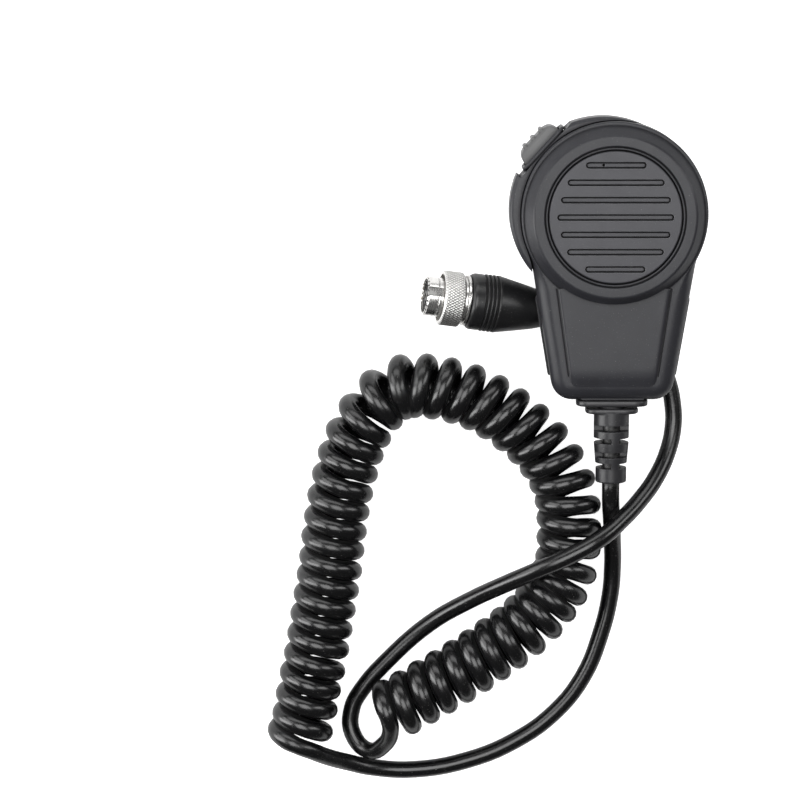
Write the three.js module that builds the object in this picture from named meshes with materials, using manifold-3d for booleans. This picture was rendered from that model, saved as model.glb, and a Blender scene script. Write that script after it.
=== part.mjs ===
// Hand microphone for a radio set, with its curly cord and screw-on round plug.
//
// Millimetres. The microphone lies on its back on the hang-up button: the origin is the
// middle of that button's flat face, +Z comes out of the grille, +Y points to the top of
// the head, and +X is to the right of someone who looks at the grille.

import * as THREE from 'three';
import { mergeVertices } from 'three/addons/utils/BufferGeometryUtils.js';
import Module from 'manifold-3d';

const wasm = await Module();
wasm.setup();

// ---- Driving dimensions ------------------------------------------------------------

// Fits
const GAP = 0.3; // between pieces that touch
const SLIDE_GAP = 0.2; // on each side of a piece that slides or turns
const PAST = 1; // how far a cutter runs past the face that it opens
const SINK = 0.1; // how far a piece that is joined to another starts inside it
const BOSS_SINK = 0.5; // and a boss in its wall
const SHARP = 0.1; // corner radius of a plate that is all but square

// Sides and steps of the round pieces
const HEAD_SIDES = 48;
const PLUG_SIDES = 28;
const SMALL_SIDES = { button: 24, bar: 20, holder: 16, sheath: 12, screw: 10, hole: 8, wire: 6 };
const OUTLINE_STEPS = { corner: 4, neck: 3, head: 13, side: 5 };

// Grille, from its middle outwards: the head's radius is their sum
const DISC_R = 21.6;
const GROOVE_WIDTH = 1.5;
const RING_FLAT_WIDTH = 3.4;
const RING_BEVEL_WIDTH = 3.2;
const RIM_WIDTH = 0.8;
const RING_R = DISC_R + GROOVE_WIDTH + RING_FLAT_WIDTH + RING_BEVEL_WIDTH;
const HEAD_R = RING_R + RIM_WIDTH;

const GRILLE_Y = -0.45; // the ring's and disc's middle, from the head's centre
const DISC_THICKNESS = 2.2;
const DISC_RECESS = 0.4; // from the ring's top down to the disc
const DISC_EDGE = 0.4; // chamfer
const LEDGE_WIDTH = 1.4; // what the disc's edge sits on
const SLOT_PITCH = 5.65;
const SLOT_HEIGHT = 2.2;
const SLOT_DEPTH = 1.3;
const SLOT_LENGTHS = [19.7, 31.5, 35.7, 38, 35.7, 31.5, 19.7];
const PORT_R = 0.75;
const PORT_X = -4.1; // along the top slot
const FELT_THICKNESS = 0.6;

// Housing outline, seen from the front
const WAIST_INSET = 4.5; // from the head's radius to the half width at WAIST_DROP
const WAIST_DROP = 21; // below the head's centre
const SIDE_LEAN = THREE.MathUtils.degToRad(9.5);
const NECK_BLEND_R = 30; // hollow curve from the head into each side
const BODY_DROP = 61.3; // from the head's centre to the bottom edge
const CORNER_R = 7;
const LEAST_CORNER_R = 0.6; // of an outline that is moved far in

// Housing heights
const BUTTON_STANDOFF = 6.3; // from the floor to the head's back
const LOWER_BACK_RISE = 4.3; // how much higher the back is below the head
const BACK_SLOPE = 18; // length of the slope between the two
const SEAM_Z = 17.5;
const FRONT_Z = 25;
const RING_HEIGHT = 3.5;
const PANEL_HEIGHT = 0.8;
const PANEL_CHAMFER = 1.4;
const PANEL_IN = { side: 6.3, top: 7, bottom: 8 }; // from the housing's outline
const WALL = 2.2;
// Rounding of the front's edge: below the front, in from the head's edge and the body's
const FRONT_ROUND = [[3.5, 0, 0.2], [1.4, 0, 1.2], [0.4, 0.5, 2.6]];
const BODY_EDGE_IN = 4.6;
// The same inside, below the ceiling and in from the walls
const CEILING_ROUND = [[2.5, 0, 0.4], [0.8, 0.8, 2], [0, 2, 4.2]];
const BACK_ROUND = 10; // how far the back's rounded edge reaches in
const BACK_TURNS = [90, 66, 44, 22, 0].map(THREE.MathUtils.degToRad); // along that edge
const SPOUT = { width: 21, height: 10.4, length: 6 }; // bottom end, round the cord

// Push-to-talk button, measured from the head's centre along its own direction
const PTT_ANGLE = THREE.MathUtils.degToRad(137.4);
const PTT_Z = 15.3;
const PTT_LENGTH = 15.5;
const PTT_HEIGHT = 11;
const PTT_FACE_OUT = 5.9; // outside the head's radius
const PTT_ROUND = 3.2; // of the face's ends
const PTT_BULGE = 0.2;
const PTT_LIP = { inset: 2.9, thickness: 1.3, corner: 1.5 }; // inset from the head's radius
const PTT_TRAVEL = 1.5;
const RIB_COUNT = 3;
const RIB_PITCH = 3.7;
const RIB_SIZE = 0.8;
const RIB_INSET = 0.5; // from the button's edges
const BEZEL_OUT = 1.8; // outside the head's radius
const BEZEL_RIM = { end: 1.9, side: 1.2 }; // wider than the button
const BEZEL_CORNER = { sleeve: 2, flange: 2.6 };
const HUMP_R = 30.7; // round shoulder of the rear shell that holds the button
const HUMP_SHIFT = new THREE.Vector2(-3.7, 1.2);
const HUMP_LOW_Z = 6.5;
const HUMP_TOP_Z = 23;
const HUMP_NOTCH = 24; // length of the cut-out round the button
const HUMP_START = 7; // from the head's centre to where the shoulder begins
// Its rounded edges: in from its radius, and up from its lowest or down from its top
const HUMP_LOW_ROUND = [[6, 0], [3, 0.5], [0.9, 1.9], [0, 4.4]];
const HUMP_TOP_ROUND = [[0, 1.8], [0.5, 0.5], [1.6, 0]];

// Switch behind the button
const SWITCH_LENGTH = 12.8;
const SWITCH_HEIGHT = 4.8;
const SWITCH_DEPTH = 6;
const SWITCH_INSET = 8.1; // from the head's radius to the switch's front face
const PLUNGER_R = 1.2;
const PLUNGER_OUT = 1.9;
const STEM_R = 2.2;

// Fasteners
const SHELL_SCREW_R = 1.25;
const SHELL_SCREW_HEAD_R = 2.5;
const SHELL_SCREW_HEAD_H = 1.7;
const SHELL_SCREW_BITE = 4.5; // how far it goes past the seam
const HEAD_SEAT_RISE = 5.3; // from the back up to the seat under its head
const LOWER_SEAT_RISE = 3.6;
const SEAT_BOSS_DEPTH = 2;
const HEAD_SCREW_ANGLE = THREE.MathUtils.degToRad(8);
const LOWER_SCREW_UP = 12; // from the bottom edge
const SCREW_CLEARANCE = 0.5; // from the boss to the side wall
const SMALL_SCREW_R = 0.9;
const SMALL_SCREW_HEAD_R = 1.8;
const SMALL_SCREW_HEAD_H = 1.3;
const SCREW_HEAD_EDGE = 0.4;
const BOSS_WALL = 1.1;

// Hang-up button
const HANG_R = 6.5;
const HANG_HEAD_H = 2.4;
const HANG_NECK_R = 3.6;
const HANG_EDGE = { face: 0.8, back: 0.5 };
const HANG_CONE = { neck: 0.6, bore: 0.4 }; // rise to the neck, depth of the screw's point
const HANG_SCREW_R = 1.5;
const HANG_SCREW_HEAD_R = 2.8;
const HANG_SCREW_HEAD_H = 1.8;
const HANG_WASHER_R = 4;
const HANG_WASHER_H = 0.7;

// Inside
const BOARD_THICKNESS = 1.6;
const BOARD_HOLE_R = 6.5;
const BOARD_SCREW_INSET = 3.2; // from the board's edge
const BOARD_SCREW_ANGLES = [-43, -137.5].map(THREE.MathUtils.degToRad);
const BOARD_OVER_SLOPE = 6; // how far its edge runs past the start of the back's slope
const CAPSULE_R = 3;
const CAPSULE_H = 3;
const HOLDER_WALL = 1.6;
const HOLDER_FLOOR = 1;
const HEADER_SIZE = new THREE.Vector3(12, 4, 4.2);
const HEADER_INSET = 4.5; // from the board's lower edge
const WIRE_R = 0.32;
const WIRE_COUNT = 6;
const WIRE_SPREAD = { clamp: 0.9, bend: 1.2, rise: 1.9, header: 1.8 }; // between neighbours
const CAPSULE_WIRE_X = 1.2; // on each side of the capsule's middle

// Strain relief
const RELIEF_R = 5.85;
const RELIEF_END_R = 5.1;
const RELIEF_LENGTH = 23.3; // past the second flange
const RELIEF_TAPER = { start: 9.5, middle: 12.5, end: 18.5 }; // past the second flange
const NOTCH_IN = 3.2; // from the cord's middle
const NOTCHES = [
  { from: 3.9, to: 6, axis: 'z' }, { from: 8.3, to: 10, axis: 'x' },
  { from: 12.9, to: 14.8, axis: 'z' }, { from: 16.7, to: 18.5, axis: 'x' },
];
const FLANGE_HEIGHT = 11;
const FLANGE_1 = { width: 23.7, thickness: 2 };
const FLANGE_2 = { width: 17.5, thickness: 1.7 };
const FLANGE_STEP = 0.8;
const FLANGE_CORNER = 4;
const RELIEF_NECK_R = 4.2;
const ANCHOR = { width: 15, height: 6.4, thickness: 2, corner: 2 };
const CLAMP_SPACE = 2; // between the anchor and the clamp
const CLAMP_WIDTH = 18;
const CLAMP_DEPTH = 4;
const CLAMP_THICKNESS = 1.6;
const CLAMP_SCREW_X = 7;
const CRADLE_THICKNESS = 2; // rib below the cord, under the clamp

// Cord
const CORD_R = 2.9;
const CORD_SIDES = 10;
const COIL_R = 10.8;
const COIL_SIDES = 10;
const COIL_Z = 10.9; // height of the lying coil's middle
const LYING_Z = 2.95; // and of a lying lead's middle

// Plug, measured forwards from the boot's wide end
const PLUG_UP = 3.75; // from the lower end of the back's slope up to the plug
const PLUG_Z = 11.3;
const PLUG_SHOWS = 23.1; // from the housing's side to the boot's wide end
const PLUG_HEADING = THREE.MathUtils.degToRad(171.8);
const PLUG_TILT = THREE.MathUtils.degToRad(9.5);
const BOOT_R = 9.5;
const BOOT_LENGTH = 33;
const BOOT_TAIL_R = 3.5;
const BOOT_TAPER = [[5.1, 27.5], [6.7, 22.9], [8.5, 15]]; // radius, and from the wide end
const BOOT_STRAIGHT = 9.6;
const BOOT_EDGE = 0.8;
const BOOT_WALL = 2.9;
const SLEEVE_LENGTH = 12;
const COLLAR_R = 8.4;
const COLLAR_WIDTH = 1.7;
const RING_NUT_R = 9;
const RING_NUT_WIDTH = 7;
const RING_NUT_LIP = 1.5;
const RING_NUT_WALL = 1.2;
const RING_NUT_EDGE = 0.7;
const KNURL_COUNT = 28;
const KNURL_DEPTH = 0.35;
const BARREL_R = 6.5;
const BARREL_WALL = 0.9;
const BARREL_LENGTH = 14.7;
const BARREL_LIP = 0.8; // thickness of the rim that holds the coupling ring
const BARREL_EDGE = 0.3;
const KEYWAY_WIDTH = 3;
const KEYWAY_DEPTH = 0.5;
const KEYWAY_LENGTH = 6;
const KEYWAY_TURN = THREE.MathUtils.degToRad(23); // from the top towards the head
const INSERT_RECESS = 1;
const INSERT_LENGTH = 7.6;
const INSERT_LEDGE = 0.9; // what the insert sits on
const CONTACT_R = 0.75;
const CONTACT_BORE_R = 0.42;
const CONTACT_CIRCLE_R = 3.3;
const CONTACTS_AROUND = 7;
const CONTACT_TAIL = 2; // behind the insert

// ---- Sizes that follow from them ---------------------------------------------------

const WAIST_HALF_WIDTH = HEAD_R - WAIST_INSET;
const BOTTOM_Y = -BODY_DROP;
const BACK_Z = BUTTON_STANDOFF;
const RING_TOP_Z = FRONT_Z + RING_HEIGHT;
const DISC_TOP_Z = RING_TOP_Z - DISC_RECESS;
const DISC_BACK_Z = DISC_TOP_Z - DISC_THICKNESS;
const OPENING_R = DISC_R - LEDGE_WIDTH;
const FELT_BACK_Z = DISC_BACK_Z - GAP - FELT_THICKNESS;
const CAPSULE_TOP_Z = FRONT_Z - WALL - GAP; // clear of the grille's ledge
const TOP_SLOT_Y = GRILLE_Y + SLOT_PITCH * (SLOT_LENGTHS.length - 1) / 2;
const BOARD_TOP_Z = PTT_Z - SWITCH_HEIGHT / 2 - GAP;
const BOARD_BACK_Z = BOARD_TOP_Z - BOARD_THICKNESS;
const SCREW_HOLE_R = SHELL_SCREW_R + GAP;
const SEAT_R = SHELL_SCREW_HEAD_R + GAP;
const SEAT_BOSS_R = SEAT_R + BOSS_WALL;
const FRONT_BOSS_R = SCREW_HOLE_R + BOSS_WALL;
const HEAD_BOSS_RADIUS = HEAD_R - WALL - FRONT_BOSS_R;
const BOARD_R = HEAD_BOSS_RADIUS - SEAT_BOSS_R - GAP;
const BACK_SLOPE_START = BOARD_R - BOARD_OVER_SLOPE; // below the head's centre
const RELIEF_Z = SEAM_Z;
const RELIEF_Y = BOTTOM_Y - GAP;
const TUBE_Y = RELIEF_Y - FLANGE_1.thickness - FLANGE_STEP - FLANGE_2.thickness;
const RELIEF_END_Y = TUBE_Y - RELIEF_LENGTH;
const ANCHOR_Y = BOTTOM_Y + hollowInset(ANCHOR.height / 2) + GAP + ANCHOR.thickness;
const CLAMP_Y = ANCHOR_Y + CLAMP_SPACE + CLAMP_DEPTH / 2;
const SHEATH_END_Y = CLAMP_Y + CLAMP_DEPTH;
const BEZEL_LENGTH = PTT_LENGTH + 2 * BEZEL_RIM.end;
const BEZEL_HEIGHT = PTT_HEIGHT + 2 * BEZEL_RIM.side;
const SLEEVE_RIM = BEZEL_RIM.side - GAP;
const SWITCH_FACE = HEAD_R - SWITCH_INSET;
const PLUG_Y = PLUG_UP - BACK_SLOPE_START - BACK_SLOPE;
const PLUG_X = -sideX(PLUG_Y, 0) - PLUG_SHOWS;

// Each shell screw: where it stands and the height of the seat under its head
const SCREW_SIDE_INSET = WALL + FRONT_BOSS_R + SCREW_CLEARANCE;
const LOWER_SCREW_Y = BOTTOM_Y + LOWER_SCREW_UP;
const LOWER_SCREW_X = sideX(LOWER_SCREW_Y, SCREW_SIDE_INSET);
const HEAD_SCREW_X = HEAD_BOSS_RADIUS * Math.cos(HEAD_SCREW_ANGLE);
const HEAD_SCREW_Y = HEAD_BOSS_RADIUS * Math.sin(HEAD_SCREW_ANGLE);
const HEAD_SEAT_Z = BACK_Z + HEAD_SEAT_RISE;
const LOWER_SEAT_Z = BACK_Z + LOWER_BACK_RISE + LOWER_SEAT_RISE;
const SHELL_SCREWS = [
  { x: HEAD_SCREW_X, y: HEAD_SCREW_Y, seat: HEAD_SEAT_Z },
  { x: -HEAD_SCREW_X, y: HEAD_SCREW_Y, seat: HEAD_SEAT_Z },
  { x: LOWER_SCREW_X, y: LOWER_SCREW_Y, seat: LOWER_SEAT_Z },
  { x: -LOWER_SCREW_X, y: LOWER_SCREW_Y, seat: LOWER_SEAT_Z },
];
const BOARD_SCREW_R = BOARD_R - BOARD_SCREW_INSET;

// ---- Cord routes, chosen by hand ---------------------------------------------------

// From the strain relief, down onto the floor and round to the coil's first turn
const MIC_LEAD = [
  [0, RELIEF_END_Y - GAP, RELIEF_Z], [0, RELIEF_END_Y - 3, RELIEF_Z],
  [0.2, -97.5, 16], [0.8, -103.5, 12.2], [1.5, -111.5, 7.2], [1.9, -121, 3.8],
  [1.2, -131.5, LYING_Z], [-1.8, -144.6, LYING_Z], [-7.6, -159.5, LYING_Z],
  [-17.3, -172.2, LYING_Z], [-31, -182.3, LYING_Z], [-46.9, -189, LYING_Z],
  [-65, -192.3, 3], [-79.5, -191.2, 4], [-88.5, -187.9, 8], [-96, -184.4, 14],
  [-104, -181.6, 18.4],
];

// The middle of the coiled part, from the microphone's end to the plug's end
const COIL_AXIS = [
  [-103.9, -176.8], [-102.4, -170], [-100, -158], [-97.5, -145], [-95.3, -131],
  [-93.3, -118], [-91.7, -105], [-89.5, -92.5], [-86.4, -80.5], [-82.2, -70.6],
  [-76.8, -63.2], [-70.4, -59.2], [-63.6, -58.2], [-56.4, -59.1], [-49.2, -60.9],
  [-42.3, -63.6], [-36, -67.5], [-29.9, -72.1], [-24.3, -77.3], [-19.5, -83.4],
  [-15.9, -90.2], [-13.8, -97.5], [-13.3, -104.7], [-13.5, -111.7], [-14.5, -118.3],
  [-16.6, -124.6], [-19.6, -130], [-23.3, -135], [-27.8, -139.8], [-33.3, -144.4],
  [-44.4, -152.3], [-56.1, -159.6], [-68.4, -166.6],
];

// From the coil's last turn, round a loop, up over the coil and back under the microphone
const PLUG_LEAD = [
  [-76.1, -161.8, 10.8], [-73.6, -168.6, 18.5], [-73.2, -174.4, 16.4],
  [-75.2, -181, 11.4], [-80.6, -184.6, 7], [-86.2, -179.4, 4], [-86.4, -170.8, 3],
  [-82.9, -164, LYING_Z], [-74.3, -154, LYING_Z], [-59.9, -140.8, 4.2],
  [-46.4, -131.5, 10], [-35, -124.2, 18.2], [-23.6, -117.8, 24.2],
  [-13.7, -113, 25.6], [-3.8, -107.6, 24.2], [4, -101.8, 19.3], [10.1, -96.4, 14],
  [15.8, -89.5, 9.2], [20, -81, 5.4], [21.8, -72.8, 3.4], [21.6, -66, LYING_Z],
  [20, -58.5, LYING_Z], [16.5, -50.5, LYING_Z], [11, -44, LYING_Z],
  [3.5, PLUG_Y - 9.5, 3.2], [-5.5, PLUG_Y - 6.5, 4.6],
];

// ---- Materials ---------------------------------------------------------------------

function finish(color, roughness, metalness = 0) {
  return () => new THREE.MeshStandardMaterial({ color, roughness, metalness, flatShading: true });
}

const shellPlastic = finish(0x4c4d52, 0.5);
const grillePlastic = finish(0x54555b, 0.45);
const buttonPlastic = finish(0x6b6c6c, 0.5);
const darkRubber = finish(0x2c2c30, 0.65);
const cordJacket = finish(0x141416, 0.3);
const bootRubber = finish(0x1a1b1d, 0.45);
const nickel = finish(0xd2d3d0, 0.22, 1);
const steel = finish(0xa3a5a8, 0.35, 1);
const gold = finish(0xc9a24a, 0.3, 1);
const insertPlastic = finish(0x101012, 0.5);
const boardLaminate = finish(0x1f5a37, 0.5);
const felt = finish(0x18181a, 0.95);
const headerPlastic = finish(0xe6e2d6, 0.5);
const WIRE_COLOURS = [0xb02a2a, 0xd8d4c8, 0x1d1d1f, 0x2f6fb3, 0xd1a62c, 0x3c8a4a];

// ---- Making and joining solids -----------------------------------------------------

function toSolid(geometry) {
  const bare = geometry.index ? geometry.toNonIndexed() : geometry.clone();
  bare.deleteAttribute('normal');
  bare.deleteAttribute('uv');
  const merged = mergeVertices(bare, 1e-4);
  return new wasm.Manifold(new wasm.Mesh({
    numProp: 3,
    vertProperties: merged.attributes.position.array,
    triVerts: new Uint32Array(merged.index.array),
  }));
}

function toGeometry(solid) {
  const mesh = solid.getMesh();
  const geometry = new THREE.BufferGeometry();
  geometry.setAttribute('position', new THREE.BufferAttribute(mesh.vertProperties, 3));
  geometry.setIndex(new THREE.BufferAttribute(mesh.triVerts, 1));
  geometry.computeVertexNormals();
  return geometry;
}

function join(first, ...others) {
  return others.reduce((sum, other) => sum.add(toSolid(other)), toSolid(first));
}

function cut(solid, ...cutters) {
  return cutters.reduce((rest, cutter) => rest.subtract(toSolid(cutter)), solid);
}

function named(name, geometry, material) {
  const mesh = new THREE.Mesh(geometry, material());
  mesh.name = name;
  return mesh;
}

function at(mesh, x, y, z) {
  mesh.position.set(x, y, z);
  return mesh;
}

// A block between two corners
function block(low, high) {
  const size = high.map((value, i) => value - low[i]);
  const geometry = new THREE.BoxGeometry(...size);
  return geometry.translate(...size.map((value, i) => low[i] + value / 2));
}

// Enough sides for a round piece of this radius
const roundSides = (radius) => 2 * Math.max(5, Math.round(3 * Math.sqrt(radius)));

// A rod on a line parallel to Z
function rod(radius, low, high, x = 0, y = 0, sides = roundSides(radius)) {
  const geometry = new THREE.CylinderGeometry(radius, radius, high - low, sides);
  return geometry.rotateX(Math.PI / 2).translate(x, y, (low + high) / 2);
}

// A turned piece whose axis is Z: the profile is a list of [radius, height]
function turned(profile, segments = PLUG_SIDES) {
  const points = profile.map(([radius, height]) => new THREE.Vector2(radius, height));
  return new THREE.LatheGeometry(points, segments).rotateX(Math.PI / 2);
}

// A turned ring, whose profile closes on itself
function turnedRing(profile, segments = PLUG_SIDES) {
  return turned([...profile, profile[0]], segments);
}

// A flat-sided plate with rounded corners, drawn across its middle and thick from 0 up
function roundedPlate(width, height, radius, thickness) {
  const [w, h] = [width / 2 - radius, height / 2 - radius];
  const shape = new THREE.Shape();
  shape.absarc(w, h, radius, 0, Math.PI / 2);
  shape.absarc(-w, h, radius, Math.PI / 2, Math.PI);
  shape.absarc(-w, -h, radius, Math.PI, Math.PI * 1.5);
  shape.absarc(w, -h, radius, Math.PI * 1.5, Math.PI * 2);
  return new THREE.ExtrudeGeometry(shape, { depth: thickness, bevelEnabled: false, curveSegments: 3 });
}

function polygonShape(sides, radiusOf) {
  const shape = new THREE.Shape();
  for (let i = 0; i < sides; i++) {
    const angle = 2 * Math.PI * i / sides;
    const x = radiusOf(i) * Math.cos(angle);
    const y = radiusOf(i) * Math.sin(angle);
    if (i === 0) shape.moveTo(x, y);
    else shape.lineTo(x, y);
  }
  return shape;
}

// A round bar swept along a smooth curve through the points
function swept(points, radius, sides, steps) {
  const path = new THREE.CatmullRomCurve3(points.map((p) => new THREE.Vector3(...p)));
  path.curveType = 'centripetal';
  return new THREE.ExtrudeGeometry(polygonShape(sides, () => radius), { steps, extrudePath: path });
}

// Rings of equally many points, joined into one skin that is closed at both ends by a
// fan to the given points
function loft(rings, firstCentre, lastCentre) {
  const count = rings[0].length;
  const positions = rings.flat().concat([firstCentre, lastCentre]).flat();
  const index = [];
  for (let r = 0; r < rings.length - 1; r++) {
    for (let i = 0; i < count; i++) {
      const a = r * count + i;
      const b = r * count + (i + 1) % count;
      index.push(a, b, a + count, b, b + count, a + count);
    }
  }
  const first = rings.length * count;
  const lastRow = first - count;
  for (let i = 0; i < count; i++) {
    const next = (i + 1) % count;
    index.push(first, next, i);
    index.push(first + 1, lastRow + i, lastRow + next);
  }
  const geometry = new THREE.BufferGeometry();
  geometry.setAttribute('position', new THREE.Float32BufferAttribute(positions, 3));
  geometry.setIndex(index);
  return geometry;
}

// ---- Housing outline ---------------------------------------------------------------

// Half width of the straight side at a height y, moved in by inset
function sideX(y, inset) {
  return WAIST_HALF_WIDTH + (y + WAIST_DROP) * Math.tan(SIDE_LEAN) - inset / Math.cos(SIDE_LEAN);
}

function arc(cx, cy, radius, from, to, steps) {
  return Array.from({ length: steps + 1 }, (_, i) => {
    const angle = from + (to - from) * i / steps;
    return [cx + radius * Math.cos(angle), cy + radius * Math.sin(angle)];
  });
}

// The points that divide a straight line into equal steps, without its ends
function straight(from, to, steps) {
  return Array.from({ length: steps - 1 }, (_, i) => {
    return from.map((value, axis) => value + (to[axis] - value) * (i + 1) / steps);
  });
}

// The outline, moved in by one distance round the head and by another round the lower
// body. It runs counter-clockwise from the bottom's middle and always has as many points.
function outline(headInset, bodyInset = headInset) {
  const headR = HEAD_R - headInset;
  const blendR = NECK_BLEND_R + bodyInset;
  const cornerR = Math.max(CORNER_R - bodyInset, LEAST_CORNER_R);
  const normal = [Math.cos(SIDE_LEAN), -Math.sin(SIDE_LEAN)];
  const upwards = [Math.sin(SIDE_LEAN), Math.cos(SIDE_LEAN)];
  const sideDistance = normal[0] * WAIST_HALF_WIDTH - normal[1] * WAIST_DROP - bodyInset;

  const out = sideDistance + blendR;
  const along = -Math.sqrt(Math.max((headR + blendR) ** 2 - out ** 2, 0));
  const blend = [out * normal[0] + along * upwards[0], out * normal[1] + along * upwards[1]];
  const headAngle = Math.atan2(blend[1], blend[0]);

  const bottom = BOTTOM_Y + bodyInset;
  const cornerY = bottom + cornerR;
  const cornerX = sideX(cornerY, bodyInset) - cornerR * (1 / normal[0]);
  const corner = arc(cornerX, cornerY, cornerR, -Math.PI / 2, -SIDE_LEAN, OUTLINE_STEPS.corner);
  const [from, to] = [Math.PI - SIDE_LEAN, Math.PI + headAngle];
  const neck = arc(blend[0], blend[1], blendR, from, to, OUTLINE_STEPS.neck);
  const head = arc(0, 0, headR, headAngle, Math.PI / 2, OUTLINE_STEPS.head).slice(1);
  const side = straight(corner[corner.length - 1], neck[0], OUTLINE_STEPS.side);
  const right = [[0, bottom], ...corner, ...side, ...neck, ...head];
  const left = right.slice(1, -1).reverse().map(([x, y]) => [-x, y]);
  return [...right, ...left];
}

const level = (points, z) => points.map(([x, y]) => [x, y, z]);
const MIDDLE_Y = -8; // a point from which every outline can be seen whole

function outlineLoft(levels) {
  const rings = levels.map(([z, headInset, bodyInset]) => level(outline(headInset, bodyInset), z));
  const [first, last] = [levels[0][0], levels[levels.length - 1][0]];
  return loft(rings, [0, MIDDLE_Y, first], [0, MIDDLE_Y, last]);
}

// Height of the rear shell's back: the head's back is flat and the lower back stands
// higher, joined by a smooth slope
function backZ(y) {
  const t = THREE.MathUtils.clamp((-y - BACK_SLOPE_START) / BACK_SLOPE, 0, 1);
  return BACK_Z + LOWER_BACK_RISE * t * t * (3 - 2 * t);
}

// How far in from the outline the lower hollow's round edge is, at a depth below the seam
function hollowInset(depth) {
  const deep = SEAM_Z - GAP / 2 - BACK_Z - LOWER_BACK_RISE - WALL;
  return WALL + BACK_ROUND * (1 - Math.sqrt(1 - (depth / deep) ** 2));
}

// The rear shell's round-edged bowl, as a solid. Moved in by inset, it is the hollow.
function backBowl(inset, topZ) {
  const rings = BACK_TURNS.map((turn) => {
    const points = outline(inset + BACK_ROUND * (1 - Math.cos(turn)));
    return points.map(([x, y]) => {
      const deep = SEAM_Z - GAP / 2 - backZ(y) - inset;
      return [x, y, SEAM_Z - GAP / 2 - deep * Math.sin(turn)];
    });
  });
  rings.push(level(outline(inset), topZ));
  return loft(rings, [0, MIDDLE_Y, BACK_Z + inset], [0, MIDDLE_Y, topZ]);
}

// ---- Push-to-talk openings, shared by both shells ----------------------------------

// A block in the button's own directions: outwards from the head, along the button, up
function pttBlock(from, to, length, height) {
  const box = block([from, -length / 2, PTT_Z - height / 2], [to, length / 2, PTT_Z + height / 2]);
  return box.rotateZ(PTT_ANGLE);
}

function bezelOpening() {
  const reach = HEAD_R - SWITCH_INSET + PAST;
  const rim = 2 * (SLEEVE_RIM + GAP);
  return pttBlock(reach, HEAD_R + PTT_FACE_OUT, PTT_LENGTH + rim, PTT_HEIGHT + rim);
}

function bezelFlangeRoom() {
  const face = HEAD_R + BEZEL_OUT;
  return pttBlock(HEAD_R + GAP, face + PTT_FACE_OUT, HUMP_NOTCH, HUMP_TOP_Z * 2);
}

function reliefHole() {
  const hole = rod(RELIEF_NECK_R + GAP, 0, ANCHOR_Y - BOTTOM_Y + 2 * PAST);
  return hole.rotateX(-Math.PI / 2).translate(0, BOTTOM_Y - PAST, RELIEF_Z);
}

// The square end through which the cord leaves, between two heights
function cordSpout(low, high) {
  const half = SPOUT.width / 2;
  return block([-half, BOTTOM_Y, low], [half, BOTTOM_Y + SPOUT.length, high]);
}

// ---- Front shell -------------------------------------------------------------------

function frontShell() {
  const low = SEAM_Z + GAP / 2;
  const skin = outlineLoft([
    [low, 0, 0],
    ...FRONT_ROUND.map(([down, head, body]) => [FRONT_Z - down, head, body]),
    [FRONT_Z, RIM_WIDTH, BODY_EDGE_IN],
  ]);
  const ceiling = FRONT_Z - WALL;
  const hollow = outlineLoft([
    [low - PAST, WALL, WALL],
    ...CEILING_ROUND.map(([down, head, body]) => [ceiling - down, WALL + head, WALL + body]),
  ]);
  const ringTop = RING_R - RING_BEVEL_WIDTH;
  const ring = turnedRing([
    [OPENING_R, ceiling], [RING_R - PAST, ceiling], [RING_R, FRONT_Z - SINK],
    [ringTop, RING_TOP_Z], [DISC_R + GROOVE_WIDTH, RING_TOP_Z],
    [DISC_R + GROOVE_WIDTH, DISC_BACK_Z - GAP], [OPENING_R, DISC_BACK_Z - GAP],
  ], HEAD_SIDES).translate(0, GRILLE_Y, 0);
  const opening = rod(OPENING_R, low - PAST, RING_TOP_Z + PAST, 0, GRILLE_Y, HEAD_SIDES);

  const spout = cordSpout(low, RELIEF_Z + SPOUT.height / 2);
  const skinAndRing = cut(join(skin, frontPanel(), spout), hollow).add(toSolid(ring));
  const open = cut(skinAndRing, opening);
  const bossed = SHELL_SCREWS.reduce((sum, { x, y }) => {
    return sum.add(toSolid(rod(FRONT_BOSS_R, low, ceiling + BOSS_SINK, x, y)));
  }, open);
  const holes = SHELL_SCREWS.map(({ x, y }) => {
    return rod(SCREW_HOLE_R, low - PAST, low + SHELL_SCREW_BITE + GAP, x, y);
  });
  return toGeometry(cut(bossed, ...holes, bezelOpening(), reliefHole()));
}

// The raised keystone panel below the grille
function frontPanel() {
  const top = -WAIST_DROP;
  const end = BOTTOM_Y + PANEL_IN.bottom;
  const [lowX, topX] = [sideX(end, PANEL_IN.side), sideX(top, PANEL_IN.top)];
  const corners = (inset) => [
    [inset - lowX, end + inset], [lowX - inset, end + inset], [topX - inset, top], [inset - topX, top],
  ];
  const middle = (top + end) / 2;
  const [low, edge, face] = [FRONT_Z - PAST, FRONT_Z, FRONT_Z + PANEL_HEIGHT];
  const inner = corners(PANEL_CHAMFER);
  const rings = [level(corners(0), low), level(corners(0), edge), level(inner, face)];
  return loft(rings, [0, middle, low], [0, middle, face]);
}

// ---- Rear shell --------------------------------------------------------------------

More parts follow.
